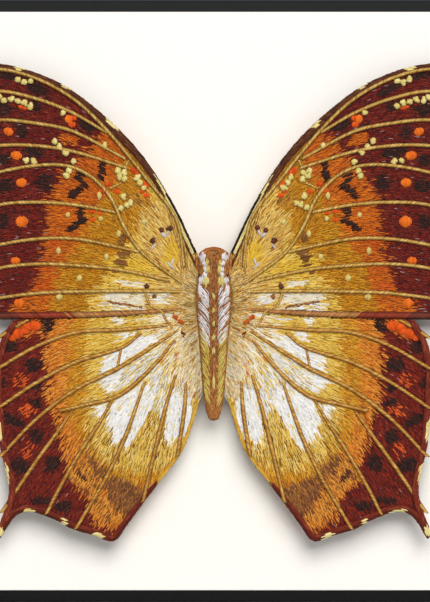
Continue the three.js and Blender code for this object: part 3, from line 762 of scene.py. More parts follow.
# %% Marks
MARKS = {
    "forewing": [(14.2, 16.2, 2.8, 5.0, 10, "sun"), (28.5, 11.6, 8.0, 3.0, 12, "sun"),
                 (25, 34, 4.8, 1.9, 20, "flecked"), (70.3, 76.2, 3.4, 1.4, 10, "dark"),
                 (60.1, 72.1, 4.4, 1.7, 27, "dark"), (71.3, 64.9, 3.1, 2.0, 10, "dark"),
                 (60.4, 66.0, 2.0, 2.0, 0, "dark"), (43.1, 59.8, 3.4, 2.0, 35, "dark"),
                 (65.2, 57.5, 1.8, 2.6, 0, "dark"), (61.1, 50.3, 4.1, 1.7, 5, "dark"),
                 (71.6, 47.9, 2.4, 2.0, 0, "dark"), (57.4, 40.1, 3.0, 2.7, 0, "dark"),
                 (70.6, 39.1, 3.1, 2.4, 0, "dark"), (71.6, 26.9, 2.4, 2.7, 0, "dark"),
                 (42.7, 65.6, 5.1, 1.0, 31, "dark"), (26.1, 50.7, 4.4, 1.0, 48, "dark"),
                 (49.2, 54.7, 3.4, 2.0, 20, "orange"), (50.0, 31.0, 1.1, 1.3, 0, "ember"),
                 (54.5, 20.5, 2.4, 2.8, 0, "ember"), (57.0, 12.0, 2.2, 2.0, 0, "ember"),
                 (58.5, 5.0, 2.6, 2.0, 0, "ember")],
    "hindwing": [(57.0, -7.8, 2.7, 3.1, 0, "dark"), (69.3, -15.0, 2.7, 2.4, 0, "dark"),
                 (61.4, -21.4, 3.1, 2.4, 0, "dark"), (71.6, -27.9, 1.4, 1.7, 0, "dark"),
                 (60.4, -28.9, 1.7, 1.8, 0, "dark"), (60.4, -34.7, 2.2, 1.8, 0, "dark"),
                 (68.2, -40.5, 4.1, 1.8, 28, "dark"), (60.4, -45.6, 2.3, 2.7, 0, "dark"),
                 (65.9, -55.8, 3.4, 2.7, 0, "dark"), (54.6, -55.4, 2.4, 3.1, 0, "dark"),
                 (50.6, -69.7, 3.1, 2.0, 0, "dark"), (58.4, -67.7, 4.1, 1.4, 0, "dark"),
                 (65.6, -27.0, 2.2, 2.6, 30, "spark"), (62.6, -37.0, 3.0, 2.2, 0, "spark"),
                 (62.9, -50.6, 2.0, 2.6, 0, "spark"), (45.5, -58.2, 0.9, 1.2, 0, "knot_brown"),
                 (44.2, -60.1, 1.7, 0.9, 37, "knot_brown"), (64.0, -9.5, 6.0, 2.8, -28, "orange")],
}


def inside_mark(points, mark, ragged):
    """True where the squared shares of both half sizes, along the mark's turned axes, add up to below one."""
    middle_out, middle_up, half_out, half_up, turn = mark[:5]
    c, s = np.cos(np.radians(turn)), np.sin(np.radians(turn))
    out, up = points[:, 0] - middle_out, points[:, 1] - middle_up
    reach = ((c * out + s * up) / half_out) ** 2 + ((c * up - s * out) / half_up) ** 2
    return reach < 1 + rng.normal(0, ragged, len(points))


print("marks:", {wing: len(m) for wing, m in MARKS.items()})

# %% [markdown]
# ## Cells of colour between the veins
# Near the body and along the hem, the veins cut the wing into cells, and many of these are worked in a
# colour of their own: white, ivory, amber or brown. An ellipse doesn't fit them, so each cell is a closed
# outline of a few points with its mix.

# %% Cells of colour
CELLS = {
    "forewing": [
        ([(38.5, 2.5), (23.6, 3), (22, -1.6), (27.5, -1.2), (32.3, -0.7), (37.5, 0.4)], "ivory"),
        ([(33.4, 7.3), (24.1, 6.3), (23.6, 4.5), (30.6, 5)], "ivory"),
        ([(21.8, 2.7), (13.9, 3.1), (14.9, -1.1), (21.2, -1)], "mixed"),
        ([(38.5, -0.3), (27.5, -1.4), (22.6, -2), (23.4, -3.4), (38.5, -4)], "mixed"),
    ],
    "hindwing": [
        ([(28, -20.5), (22, -18.5), (16, -24), (14.5, -33), (18, -40), (24.5, -30)], "mixed"),
        ([(34.5, -5.8), (30.6, -6.1), (30.9, -8), (32.3, -8.5), (34.3, -7.1)], "white"),
        ([(26.3, -5.8), (20, -5.6), (19.5, -7), (25.3, -7.1)], "mixed"),
        ([(32.2, -10.9), (28.7, -10.3), (27, -11.2), (31, -14.2), (32.1, -13.3)], "white"),
        ([(37, -18.5), (30.2, -15.5), (24.3, -11.4), (20.4, -12), (17.3, -12.1), (23.4, -16.3),
          (29.2, -19.8), (32.6, -22.2), (39.6, -24.9), (38.5, -22.1)], "white"),
        ([(39.9, -26.2), (29.2, -21.4), (20.4, -16.5), (14.6, -14.4), (20.4, -21.6), (26.8, -27.6),
          (35, -31.4), (37.9, -28.9)], "mixed"),
        ([(39.5, -26.5), (33, -23.8), (30, -24.5), (33, -29.5), (35, -31.2), (37.9, -28.9)], "white"),
        ([(33.9, -34.1), (26.3, -29), (23.7, -28.3), (29.2, -43), (30.6, -47.1), (33.1, -48.5),
          (35.5, -45.1), (36.7, -41.9), (36.5, -40.6), (35, -37.2)], "white"),
        ([(41.6, -35.9), (34.8, -34.1), (38.7, -40.1)], "white"),
        ([(23.4, -28), (19.5, -30), (20, -35.2), (22.9, -39.6), (26.6, -46.5), (30.6, -52.1), (30.3, -48.7),
          (29, -45)], "white"),
        ([(14, -29.4), (9.9, -27.9), (10.2, -35.7), (11.7, -45), (13.9, -49.7), (15.8, -49.2), (17, -46),
          (16, -38.1)], "white"),
        ([(8.7, -30.1), (7.2, -33.3), (7.6, -39.6), (9.4, -45.4), (11, -46.5), (10.2, -42),
          (9.4, -35.7)], "white"),
        ([(49.3, -56.5), (45, -53.1), (42.1, -56.5), (39.6, -59.9), (36.2, -60.9), (37.7, -64.7),
          (41.6, -67.2), (43.5, -63.8), (49.3, -60.9)], "amber"),
        ([(44.2, -50.8), (40.8, -52.7), (36, -57.2), (36.7, -59.9), (39.9, -59.6), (42.3, -55.5),
          (44, -53.2)], "hem_brown"),
        ([(40.6, -67.7), (38.2, -65.2), (36.2, -65.7), (33.3, -71.5), (30.9, -72.5), (28.9, -74.5),
          (30.9, -76.4), (36.2, -74.5), (40.1, -72.5)], "amber"),
        ([(35.3, -58.9), (30.9, -60.1), (23.6, -63.3), (24.3, -67.4), (28.5, -74), (30.9, -72.3),
          (33.3, -71.5), (36, -65.7), (37.2, -62.3)], "hem_brown"),
        ([(17.3, -4), (14.5, -4.5), (13.9, -7), (15.7, -6.5)], "white"),
    ],
}
ROOT_PATCH = np.array(CELLS["hindwing"][-1][0])
print("cells:", {wing: len(cells) for wing, cells in CELLS.items()})

# %% [markdown]
# ## Which way the stitches lie
# The stitcher lays the filling along the wing's veins. A stitch's direction here is the mean of the veins'
# directions, with near veins counting most. Stitches may not cross the wing's edge, so their ends are
# tested by counting how often a ray from a point crosses the outline.

# %% Stitch direction
def inside_outline(points, outline):
    """True where a ray from the point crosses the closed outline an odd number of times."""
    a, b = outline, np.roll(outline, -1, axis=0)
    out, up = points[:, :1], points[:, 1:]
    spans = (a[:, 1] > up) != (b[:, 1] > up)
    rise = np.where(a[:, 1] == b[:, 1], 1, b[:, 1] - a[:, 1])
    cross = a[:, 0] + (up - a[:, 1]) / rise * (b[:, 0] - a[:, 0])
    return (spans & (out < cross)).sum(axis=1) % 2 == 1


def vein_direction(points, veins):
    """Unit direction at each point: the veins' headings weighed by one over distance cubed."""
    samples = np.vstack([v[::4] for v in veins])
    headings = np.vstack([np.gradient(v, axis=0)[::4] for v in veins])
    headings /= np.linalg.norm(headings, axis=1, keepdims=True)
    gap = np.linalg.norm(points[:, None] - samples[None], axis=2)
    mean = (1 / (gap + 0.5) ** 3) @ headings
    return mean / np.linalg.norm(mean, axis=1, keepdims=True)


slope = vein_direction(np.array([(60.0, 40.0)]), VEINS["forewing"])[0]
climb = np.degrees(np.arctan2(slope[1], slope[0]))
print(f"stitches in the middle of the forewing run {climb:.0f} degrees up")

# %% [markdown]
# ## The mix of each stitch
# A stitch takes its band's mix, unless it lies in a cell of colour or in a mark. For the cells, a stitch is
# nudged along its own direction before it is tested, so colours meet in teeth and not in a line. The
# hindwing's field reaches a little under the forewing's seam, where no cloth may show.

# %% Choosing the mix
CELL_SCATTER = 0.8
MARK_SCATTER = 0.32
SEAM_LAP = 0.4
lapped = {**HINDWING, "seam": [(out, up + SEAM_LAP) for out, up in HINDWING["seam"]]}
WORKED = {"forewing": OUTLINES["forewing"],
          "hindwing": np.vstack([smooth_path(edge)[:-1] for edge in lapped.values()])}


def field_mixes(wing, seeds, heading, band):
    """The band's mix for each stitch, then the mixes of cells and marks over it."""
    mix_of = np.array(BANDS[wing]["mixes"], dtype=object)[band]
    for cell, mix in CELLS[wing]:
        nudge = heading * rng.normal(0, CELL_SCATTER, (len(seeds), 1))
        mix_of[inside_outline(seeds + nudge, np.array(cell))] = mix
    for mark in MARKS[wing]:
        mix_of[inside_mark(seeds, mark, MARK_SCATTER)] = mark[5]
    return mix_of


print(f"worked edge of the hindwing: {path_length(WORKED['hindwing']):.0f} mm")

# %% [markdown]
# ## Long and short stitch
# The fields are filled with single stitches. Seeds lie on a grid with each one nudged at random, and every
# seed becomes one straight stitch. Stitches overlap at slightly different heights, which gives the worked
# surface its relief. In the pale cells they are laid wide and flat, as a smooth satin.

# %% Filling
SEED_GAP = 0.64
BAND_SCATTER = 1.25


def filling(wing, side):
    """Stitches of one wing's fields: a jittered grid of seeds, each a straight stitch along the veins."""
    outline, bands = WORKED[wing], BANDS[wing]
    low, high = outline.min(axis=0), outline.max(axis=0)
    grid = np.meshgrid(*(np.arange(low[k], high[k], SEED_GAP) for k in (0, 1)))
    seeds = np.stack(grid, axis=-1).reshape(-1, 2)
    seeds += rng.uniform(-0.5, 0.5, seeds.shape) * SEED_GAP
    seeds = seeds[inside_outline(seeds, outline)]
    heading = vein_direction(seeds, VEINS[wing])
    turn = rng.normal(0, 0.1, len(seeds))
    heading = np.stack([heading[:, 0] * np.cos(turn) - heading[:, 1] * np.sin(turn),
                        heading[:, 0] * np.sin(turn) + heading[:, 1] * np.cos(turn)], axis=1)
    band = band_at(seeds, bands, BAND_SCATTER)
    length = np.array(bands["lengths"])[band] * rng.uniform(0.75, 1.25, len(seeds))
    for cut in (0.5, 0.5):
        ends = [inside_outline(seeds + s * heading * length[:, None] / 2, outline) for s in (-1, 1)]
        length = np.where(ends[0] & ends[1], length, length * cut)
    mix_of = field_mixes(wing, seeds, heading, band)
    colours = np.zeros((len(seeds), 3))
    for mix in sorted(set(mix_of)):
        colours[mix_of == mix] = draw_shades(mix, (mix_of == mix).sum())
    share = np.array([-0.5, -0.3, 0.3, 0.5])
    line = seeds[:, None] + heading[:, None] * (length[:, None] * share)[..., None]
    pale = np.isin(mix_of, ("white", "ivory"))
    rise = rng.uniform(0.04, 0.19, len(seeds)) * np.where(pale, 0.4, 1)
    lift = rise[:, None] * np.array([0, 1, 1, 0]) + np.array([-0.08, 0, 0, -0.08])
    spine = place(line[..., 0], line[..., 1], WING_FACE + lift, side)
    fine = np.isin(mix_of, ("maroon", "hind_maroon"))
    half = rng.uniform(0.19, 0.25, len(seeds)) * np.select([fine, pale], [0.88, 2.0], 1.08)
    # Stitch ends are darkened as painted shade, hardly at all in the pale satin.
    height, hole = np.where(pale, 0.07, 0.13), np.where(pale, 0.95, 0.82)
    return threads(spine, (0, -1, 0), half, height, colours, hole, corners=3)


for wing in OUTLINES:
    for half, side in SIDES.items():
        stitched_piece(f"{wing}_filling_{half}", [filling(wing, side)], COTTON)

# %% [markdown]
# ## Wrapped cords
# The veins are cords wrapped with gold thread. Each turn of the wrapping crosses the cord at a slant: it
# comes up on one side, passes over the top and goes down on the other side. A twisted tube with a striped
# finish would look alike from afar, but at the edge of a cord the single turns show. Towards its tip a cord
# climbs over the padded border. The turns' colour is darkened at their sides and ends as painted shade and
# lightened on top as painted highlight, as the cord is round.

# %% Wrapping
TURN_ACROSS = np.array([-1.08, -0.62, 0, 0.62, 1.08])
TURN_RISE = np.array([-0.1, 0.72, 1.0, 0.72, -0.1])
CLIMB_LENGTH = 3.5
CLIMB_RAMP = 1.5
# Cord colour is darkened by this factor as painted shade on the turns' sides; the crown lightens the top.
CORD_PAINTED_SHADE = 0.74


def wrapped_cord(path, half_width, height, side, colours_at, pitch=0.42, slant=1.4, climb=0.0):
    """Turns over a path, one each pitch: TURN_ACROSS half widths across and TURN_RISE heights up.

    Each turn leans along the path by slant times its place across. half_width is a list of half widths at
    even steps along the cord, and colours_at gives points their colours. Over the last CLIMB_LENGTH mm the
    cord rises by climb, to cross a padded border.
    """
    total = path_length(path)
    run = np.arange(pitch / 2, total, pitch)
    middle, heading = along_path(path, run)
    across = np.stack([-heading[:, 1], heading[:, 0]], axis=1)
    half = np.interp(run, np.linspace(0, total, len(half_width)), half_width)
    step = half[:, None, None] * TURN_ACROSS[None, :, None]
    line = middle[:, None] + step * across[:, None] + slant * step * heading[:, None]
    line = line + rng.normal(0, 0.03, line.shape)
    over = climb * np.clip((CLIMB_LENGTH - total + run) / CLIMB_RAMP, 0, 1)
    tall = height * half / half.max()
    spine = place(line[..., 0], line[..., 1], WING_FACE + over[:, None] + tall[:, None] * TURN_RISE, side)
    sideways = np.stack([side * across[:, 0], 0 * run, across[:, 1]], axis=1)[:, None]
    out = sideways * (0.8 * TURN_ACROSS)[:, None] + np.array([0, -1, 0])
    out /= np.linalg.norm(out, axis=2, keepdims=True)
    wide = pitch * rng.uniform(0.56, 0.66, len(run))
    # Painted shade on the sides and ends of each turn, painted highlight on its top.
    return threads(spine, out, wide, 0.12, CORD_PAINTED_SHADE * colours_at(middle), 0.35, crown=1.85)


def one_mix(name):
    """A mix rule that gives the same mix everywhere."""
    return lambda points: draw_shades(name, len(points), 0.06)


print(f"a turn of wrapping reaches {TURN_ACROSS.max():.2f} half widths to each side of its cord")

# %% [markdown]
# ## Cords on the veins
# Every vein gets a cord, thinner by the body, and a few short cords join the veins near the root. The light
# comes from above, so a cord is brightest above its middle. The veins were measured along that bright line,
# and the cords are laid a little lower. The first cord of the forewing lies on the border and is the
# tallest.

# %% Vein cords
SMALL_CORDS = {
    "forewing": [[(23.4, 3.1), (21.4, -1.5), (17.9, -3.3), (15.9, -6.7), (13.9, -9)],
                 [(28.9, 47.6), (30, 45)], [(31.4, 40), (35, 38.2)],
                 [(16, 32.6), (12.3, 20.5), (11.2, 16.8), (10.6, 10)],
                 [(10.6, 21.3), (9.5, 16.8), (9.2, 11.1)]],
    "hindwing": [[(31.5, -16.7), (32.5, -21.9)]],
}
CORD_MIX = {"forewing": "gold", "hindwing": "deep_gold"}
CORD_WIDTHS = {"forewing": (0.6, 0.72, 0.7, 0.65), "hindwing": (0.45, 0.78, 0.76, 0.66)}
CORD_CLIMB = {"forewing": 0.5, "hindwing": 1.0}
CORD_DROP = {"forewing": 0.25, "hindwing": 0.05}
CORD_HEIGHT = 1.0
EDGE_CORD_RISE = 0.35


def vein_cords(wing, side):
    """All vein cords of a wing, thinner by the body, and its short cross cords."""
    shades = one_mix(CORD_MIX[wing])
    laid = [vein - (0, CORD_DROP[wing]) for vein in VEINS[wing]]
    tall = [CORD_HEIGHT] * len(laid)
    if wing == "forewing":
        tall[0] = CORD_HEIGHT + EDGE_CORD_RISE
    cords = [wrapped_cord(vein, CORD_WIDTHS[wing], height, side, shades, climb=CORD_CLIMB[wing])
             for vein, height in zip(laid, tall)]
    short = [wrapped_cord(smooth_path(p), (0.42, 0.42), 0.55, side, shades) for p in SMALL_CORDS[wing]]
    return cords + short


print("cords:", {wing: len(VEINS[wing]) + len(SMALL_CORDS[wing]) for wing in VEINS})

# %% [markdown]
# ## Borders in stem stitch
# The wings' edges are padded and covered with rows of stem stitch that run along the edge. Each row is the
# edge moved inwards, and the rows rise over the padding and fall again. Rows lower on the padding get less
# light between their neighbours, so their colour is darkened too, a painted shade, and rows on top are
# lightened a little, a painted highlight.

# %% Stem stitch rows
def inward(path, outline):
    """Which way is into the wing: +1 if the path's left side is inside the outline, -1 if its right is."""
    middle, heading = along_path(path, np.array([path_length(path) / 2]))
    left = middle + 0.5 * np.stack([-heading[:, 1], heading[:, 0]], axis=1)
    return 1 if inside_outline(left, outline)[0] else -1


def stem_rows(path, outline, width, height, side, colours_at, step=1.9, length=3.4, row_gap=0.36):
    """Rows of overlapping stitches: each follows the path at its own distance inwards, over round padding.

    width is a list of widths at even steps along the path.
    """
    total = path_length(path)
    rows = np.arange(0.22, max(width), row_gap) / max(width)
    starts = np.arange(-length / 2, total - length / 2, step)
    run = (starts[None] + step * rng.uniform(0, 1, (len(rows), 1))).ravel()
    depth = np.repeat(rows, len(starts))
    share = np.linspace(0, 1, 5)
    at = np.clip(run[:, None] + length * share, 0, total)
    keep = at[:, -1] - at[:, 0] > 1
    at, depth = at[keep], depth[keep]
    middle, heading = along_path(path, at)
    way = inward(path, outline) * np.stack([-heading[..., 1], heading[..., 0]], axis=-1)
    wide = np.interp(at, np.linspace(0, total, len(width)), width)
    offset = depth[:, None] * wide + 0.2 * (share - 0.5) + rng.normal(0, 0.04, (len(depth), 1))
    line = middle + way * offset[..., None]
    round_over = np.sqrt(np.clip(1 - ((offset - wide / 2) / (wide / 2 + 0.25)) ** 2, 0, 1))
    lift = height * wide / max(width) * round_over + np.array([-0.1, 0.06, 0.1, 0.06, -0.1]) - 0.12
    spine = place(line[..., 0], line[..., 1], WING_FACE + lift, side)
    half = rng.uniform(0.2, 0.25, len(at))
    # Rows low on the padding are darkened and rows on top lightened: painted shade and highlight.
    shades = colours_at(line[:, 2]) * (0.66 + 0.46 * round_over[:, 2:3])
    return threads(spine, (0, -1, 0), half, 0.15, shades)


COSTA = smooth_path(FOREWING["costa"])
print("the wing lies on this side of its leading edge:", inward(COSTA, OUTLINES["forewing"]))

# %% [markdown]
# ## Shades of the borders
# The borders are brown and red brown, with cream where a pale mark of the wing runs into them. By the body
# the leading edge has a black row, a pale stripe and a brown row, and then takes the field's tan. The hem's
# outer rows are darkened to a deeper red, a painted shade for the side of the rounded hem that turns away
# from the light. The cord over the seam between the wings changes from dark to tan on its way in.

# %% Border shades
BORDER_MARKS = {
    "forewing": [(66.4, 79.1, 2.0, 0.9, 10), (50.0, 73.2, 2.0, 1.2, 35), (34.1, 60.2, 2.7, 1.4, 45)],
    "hindwing": [(73.0, -44.5, 1.3, 4.1, 0), (70.4, -59.8, 1.3, 4.4, 0), (62.6, -71.4, 2.7, 1.0, 0),
                 (50.9, -74.8, 1.1, 0.9, 0), (38.8, -79.6, 1.9, 1.0, 25), (72.7, -78, 1.2, 1.7, 0)],
}
HEM = smooth_path(HINDWING["hem"] + HINDWING["inner"][1:4] + [(16.6, -58.7)])
# Rows within HEM_EDGE mm of the hem's edge take the deeper red of painted shade.
HEM_EDGE = 1.1


def pale_marks(wing, points, colours):
    """Cream shades where one of the wing's border marks is."""
    pale = np.any([inside_mark(points, mark, 0.1) for mark in BORDER_MARKS[wing]], axis=0)
    colours[pale] = draw_shades("cream", pale.sum(), 0.05)
    return colours


def border_mix(wing, mix):
    """A mix rule for a border: cream where a border mark is, its own mix elsewhere."""
    return lambda points: pale_marks(wing, points, draw_shades(mix, len(points), 0.08))


def hem_mix(points):
    """Painted shade: deeper red in rows by the hem's edge; the border's red further in, cream at marks."""
    depth = np.linalg.norm(points[:, None] - HEM[None], axis=2).min(axis=1)
    colours = draw_shades("border_red", len(points), 0.08)
    edge = depth < HEM_EDGE
    colours[edge] = draw_shades("hem_painted_shade", edge.sum(), 0.08)
    return pale_marks("hindwing", points, colours)


print(f"leading edge {path_length(COSTA):.0f} mm, hem {path_length(HEM):.0f} mm")

# %% Leading edge and seam
def costa_mix(points):
    """Brown; near the body a black edge, a pale stripe inside it, one brown row and then the field's tan."""
    out = points[:, 0]
    depth = np.linalg.norm(points[:, None] - COSTA[None], axis=2).min(axis=1)
    black = np.interp(out, [15.5, 16.5, 26, 27], [0.77, 0.4, 0.4, 0])
    stripe = black + np.interp(out, [6, 14, 19.5, 20.5], [1.3, 1.1, 0.35, 0])
    brown = stripe + np.interp(out, [12, 17, 24], [0.35, 0.6, 3])
    rows = np.select([depth < black, depth < stripe, depth < brown], [0, 1, 2], 3)
    colours = np.zeros((len(points), 3))
    for row, mix in enumerate(("costa_black", "stripe", "costa_brown", "tan")):
        colours[rows == row] = draw_shades(mix, (rows == row).sum(), 0.08)
    return pale_marks("forewing", points, colours)


def seam_mix(points):
    """The cord over the seam: dark at the wing's edge, red brown further in, tan by the body."""
    out = points[:, 0] + rng.normal(0, 1.5, len(points))
    zones = ((out > 66, "seam_dark"), ((out <= 66) & (out > 49), "seam_red"), (out <= 49, "seam_tan"))
    colours = np.zeros((len(points), 3))
    for where, mix in zones:
        colours[where] = draw_shades(mix, where.sum(), 0.22)
    return colours


print("pale marks in the borders:", {wing: len(marks) for wing, marks in BORDER_MARKS.items()})

# %% [markdown]
# ## Knots
# Cream knots sit in the dark cells. Each is thread wound round the needle and pulled tight, so it is a
# small lumpy heap of turns. A ball would be too smooth, so a few short fat threads are heaped on each
# place.

# %% Knots
KNOTS = np.array([(66.5, 75.1), (64.2, 74.1), (62.1, 74.5), (72.7, 69.2), (71, 68), (68.6, 68.3),
                  (66.5, 67.7), (64.2, 67.3), (62.1, 66), (51.2, 63.9), (54, 54.1), (52.3, 52.4),
                  (50.2, 50.3), (63.5, 47.6), (61.1, 47.3), (47.5, 47.3), (49.2, 44.2), (49.9, 42.5),
                  (37, 52.7), (32.5, 44.2), (30.4, 43.4), (31.9, 42.2), (30.1, 41.4), (26.1, 41.8),
                  (25.1, 40.1), (23.7, 38.4), (30.5, 35.4), (31.5, 31.6), (29.5, 32.6), (28.1, 33.3)])
DARK_KNOTS = np.array([(17.6, 24.1), (14.9, 24.8), (20.6, 20.4), (22.8, 5.1)])
SOFT_KNOTS = np.array([(20.0, 1.7)])


def knot_lobes(centres, radius, mix, side, lobes=5):
    """Fat short threads heaped on each knot's place, each nudged and turned at random, so it is lumpy."""
    count = len(centres)
    size = radius * rng.uniform(0.9, 1.15, (count, 1))
    turn = np.linspace(0, np.pi, lobes, endpoint=False) + rng.uniform(0, np.pi, (count, 1))
    nudge = rng.normal(0, 0.2 * radius, (2, count, lobes))
    share = np.array([-0.8, -0.62, 0, 0.62, 0.8])
    out = (centres[:, :1] + nudge[0])[..., None] + (np.cos(turn) * size)[..., None] * share
    up = (centres[:, 1:] + nudge[1])[..., None] + (np.sin(turn) * size)[..., None] * share
    lift = 0.15 + rng.uniform(0.3, 0.5, (count, lobes, 1)) * (1 - 0.8 * share ** 2)
    spine = place(out, up, WING_FACE + lift, side).reshape(count * lobes, 5, 3)
    shades = draw_shades(mix, count * lobes, 0.06)
    return threads(spine, (0, -1, 0), 0.58 * radius, 0.42 * radius, shades, 0.9)


print("knots on a forewing:", len(KNOTS) + len(DARK_KNOTS) + len(SOFT_KNOTS))

# %% [markdown]
# ## Satin spots
# Orange dots, red patches and pale spots are satin stitch: parallel threads side by side over a small
# ellipse, a little domed over padding. Each spot is its middle, its half sizes across and along the
# threads, and a turn in degrees.

# %% Satin stitch
def satin_spots(spots, mix, side, lines=8, rise=0.5, ground=0.1):
    """Parallel threads over ellipses, domed by rise above the ground; their ends follow a ragged ellipse."""
    spots = np.asarray(spots, float)
    where = (np.arange(lines) + 0.5) / lines * 2 - 1
    c, s = np.cos(np.radians(spots[:, 4])), np.sin(np.radians(spots[:, 4]))
    share = np.array([-1, -0.85, 0, 0.85, 1])
    first = where[None, :, None] * spots[:, 2, None, None] * np.ones(5)
    ragged = rng.uniform(0.86, 1.12, (len(spots), lines, 1))
    second = ragged * np.sqrt(1 - where ** 2)[None, :, None] * spots[:, 3, None, None] * share
    out = spots[:, 0, None, None] + c[:, None, None] * first - s[:, None, None] * second
    up = spots[:, 1, None, None] + s[:, None, None] * first + c[:, None, None] * second
    lift = rise * np.sqrt(1 - where ** 2)[None, :, None] * np.sqrt(1.02 - share ** 2) + ground
    lift = np.broadcast_to(lift, out.shape)
    spine = place(out, up, WING_FACE + lift, side).reshape(len(spots) * lines, 5, 3)
    half = np.repeat(spots[:, 2] / lines * 1.25, lines)
    return threads(spine, (0, -1, 0), half, np.minimum(half, 0.2), draw_shades(mix, len(half), 0.07), 0.85)


print("satin stitch: threads side by side overlap by a quarter")

# %% Spots of the wings
DOTS = [(69.6, 57.4, 1.65, 1.55, 20), (66.9, 49.3, 1.9, 1.65, 10), (65.2, 40.1, 1.8, 1.7, 0),
        (65.0, 26.9, 2.1, 2.1, 0), (67.2, 13.6, 1.6, 1.5, 0), (65.9, -0.7, 1.7, 1.7, 0),
        (49.2, 61.6, 1.2, 1.7, -20)]
RED_SATIN = [(26.4, 44.0, 2.0, 1.5, 30), (23.0, 39.4, 1.2, 1.6, 20), (24.2, 37.2, 0.9, 0.9, 0),
             (22.7, 35.8, 1.1, 1.0, 0), (32.7, 37.1, 1.0, 1.0, 0), (37.6, 37.4, 1.3, 1.0, 0),
             (35.8, 39.6, 1.0, 0.8, 0), (32.3, 49.4, 1.0, 0.8, 0), (41.2, 30.3, 1.3, 0.8, 0),
             (38.6, 29.7, 0.9, 0.8, 0), (41.2, 27.5, 1.0, 0.8, 0), (64.8, 65.6, 1.5, 0.8, 15),
             (47.9, 62.0, 1.4, 1.1, 0), (48.0, 59.8, 1.2, 1.2, 0)]
CREAM_SPOTS = [(38.7, 35.7, 0.7, 1.4, 0), (49.5, 29.2, 0.7, 1.0, 0), (38.3, 27.9, 0.7, 1.0, 0),
               (32.2, 22.8, 0.7, 1.4, 0), (52.6, 17.0, 0.7, 1.4, 0), (36.3, 15.0, 0.7, 1.2, 0),
               (45.5, 7.8, 0.9, 1.2, 0), (52.3, 1.4, 1.0, 1.2, 0), (23.4, 26.9, 1.0, 1.0, 0)]
WHITE_HOOKS = [(17.0, 22.4, 0.5, 1.2, -51), (15.5, 23.2, 0.32, 1.7, 27), (20.5, 18.4, 0.35, 1.4, 39),
               (14, 13.3, 0.34, 1.5, 20), (14.5, 11.9, 0.34, 2.0, -50), (15.2, 12.6, 0.24, 1.2, -50)]
ORANGE_SATIN = [(60.5, -8.4, 1.8, 1.8, 20), (63.6, -9.4, 1.9, 1.7, -60), (66.4, -11.0, 1.7, 1.9, -10),
                (68.7, -12.4, 1.3, 1.2, 40)]
ROOT_ORANGE = [(13.6, -5.2, 0.3, 0.8, 15), (13.0, -5.5, 0.3, 1.0, 15), (12.4, -5.8, 0.3, 0.9, 15),
               (11.8, -6.8, 0.3, 0.8, 15), (11.2, -7.0, 0.3, 0.9, 15), (10.7, -7.3, 0.25, 0.8, 15),
               (10.2, -7.5, 0.2, 0.6, 15)]
ROOT_FLECKS = [(10.6, -10.8, 0.3, 0.8, -35), (9.9, -11.1, 0.25, 0.7, -35), (10.2, -12.0, 0.2, 0.5, -35)]
fore_spots = len(DOTS) + len(RED_SATIN) + len(CREAM_SPOTS) + len(WHITE_HOOKS)
print("spots on a forewing:", fore_spots, "on a hindwing:", len(ORANGE_SATIN + ROOT_ORANGE + ROOT_FLECKS))

# %% [markdown]
# ## Zigzag bars
# Dark zigzag bars cross the forewing's cells. They are rows of short stitches laid along the veins, each
# with its own length, so both sides of a bar are ragged. A bar is a line of points with half its width.

# %% Bars
DARK_BARS = [
    ([(37.3, 47.3), (38, 45.2), (37.3, 44.2), (38.3, 42.5), (38.3, 41.1)], 1.15),
    ([(43.8, 43.9), (46.1, 41.8), (43.8, 39.4), (47.2, 36.7), (48.2, 34.7)], 1.5),
    ([(44.8, 31.3), (45.5, 29.2), (44.1, 27.5), (47.2, 25.8), (48.9, 23.8)], 1.25),
]
BROWN_BARS = [([(30.2, 22.8), (31.5, 19.7)], 1.2), ([(29.1, 17.7), (31.2, 14.6), (31.5, 11.9)], 1.8),
              ([(32.9, 10.5), (33.6, 9.2)], 0.9)]
FINE_LINE = [([(35.7, -0.2), (30, -1.2), (24.1, -2.1)], 0.35)]
BAR_STEP = 0.22


def bar_stitches(bars, mix, side):
    """Short stitches across a zigzag line, one each BAR_STEP mm, laid along the veins with ragged ends."""
    groups = []
    for points, half in bars:
        middle = smooth_path(points, BAR_STEP)
        middle = middle + rng.normal(0, 0.2, middle.shape)
        heading = vein_direction(middle, VEINS["forewing"])
        reach = half * rng.uniform(0.4, 1.6, (len(middle), 1)) * np.array([-1, -0.8, 0, 0.8, 1])
        line = middle[:, None] + heading[:, None] * reach[..., None]
        lift = rng.uniform(0.28, 0.42, (len(middle), 1)) * np.array([0, 0.9, 1, 0.9, 0])
        spine = place(line[..., 0], line[..., 1], WING_FACE + lift, side)
        shades = draw_shades(mix, len(middle), 0.3)
        groups.append(threads(spine, (0, -1, 0), 0.18, 0.14, shades, 0.7, corners=3))
    return groups


print("bars:", len(DARK_BARS), "dark,", len(BROWN_BARS), "brown,", len(FINE_LINE), "fine line")

# %% [markdown]
# ## Raised work of the forewings
# All that stands up from a wing is gathered here: cords, border rows, bars, knots and spots. They are one
# mesh for each wing, on top of its filling. At the shoulder a padded cord and a fine dark line lead to the
# body. The leading edge's border is narrower by the body.

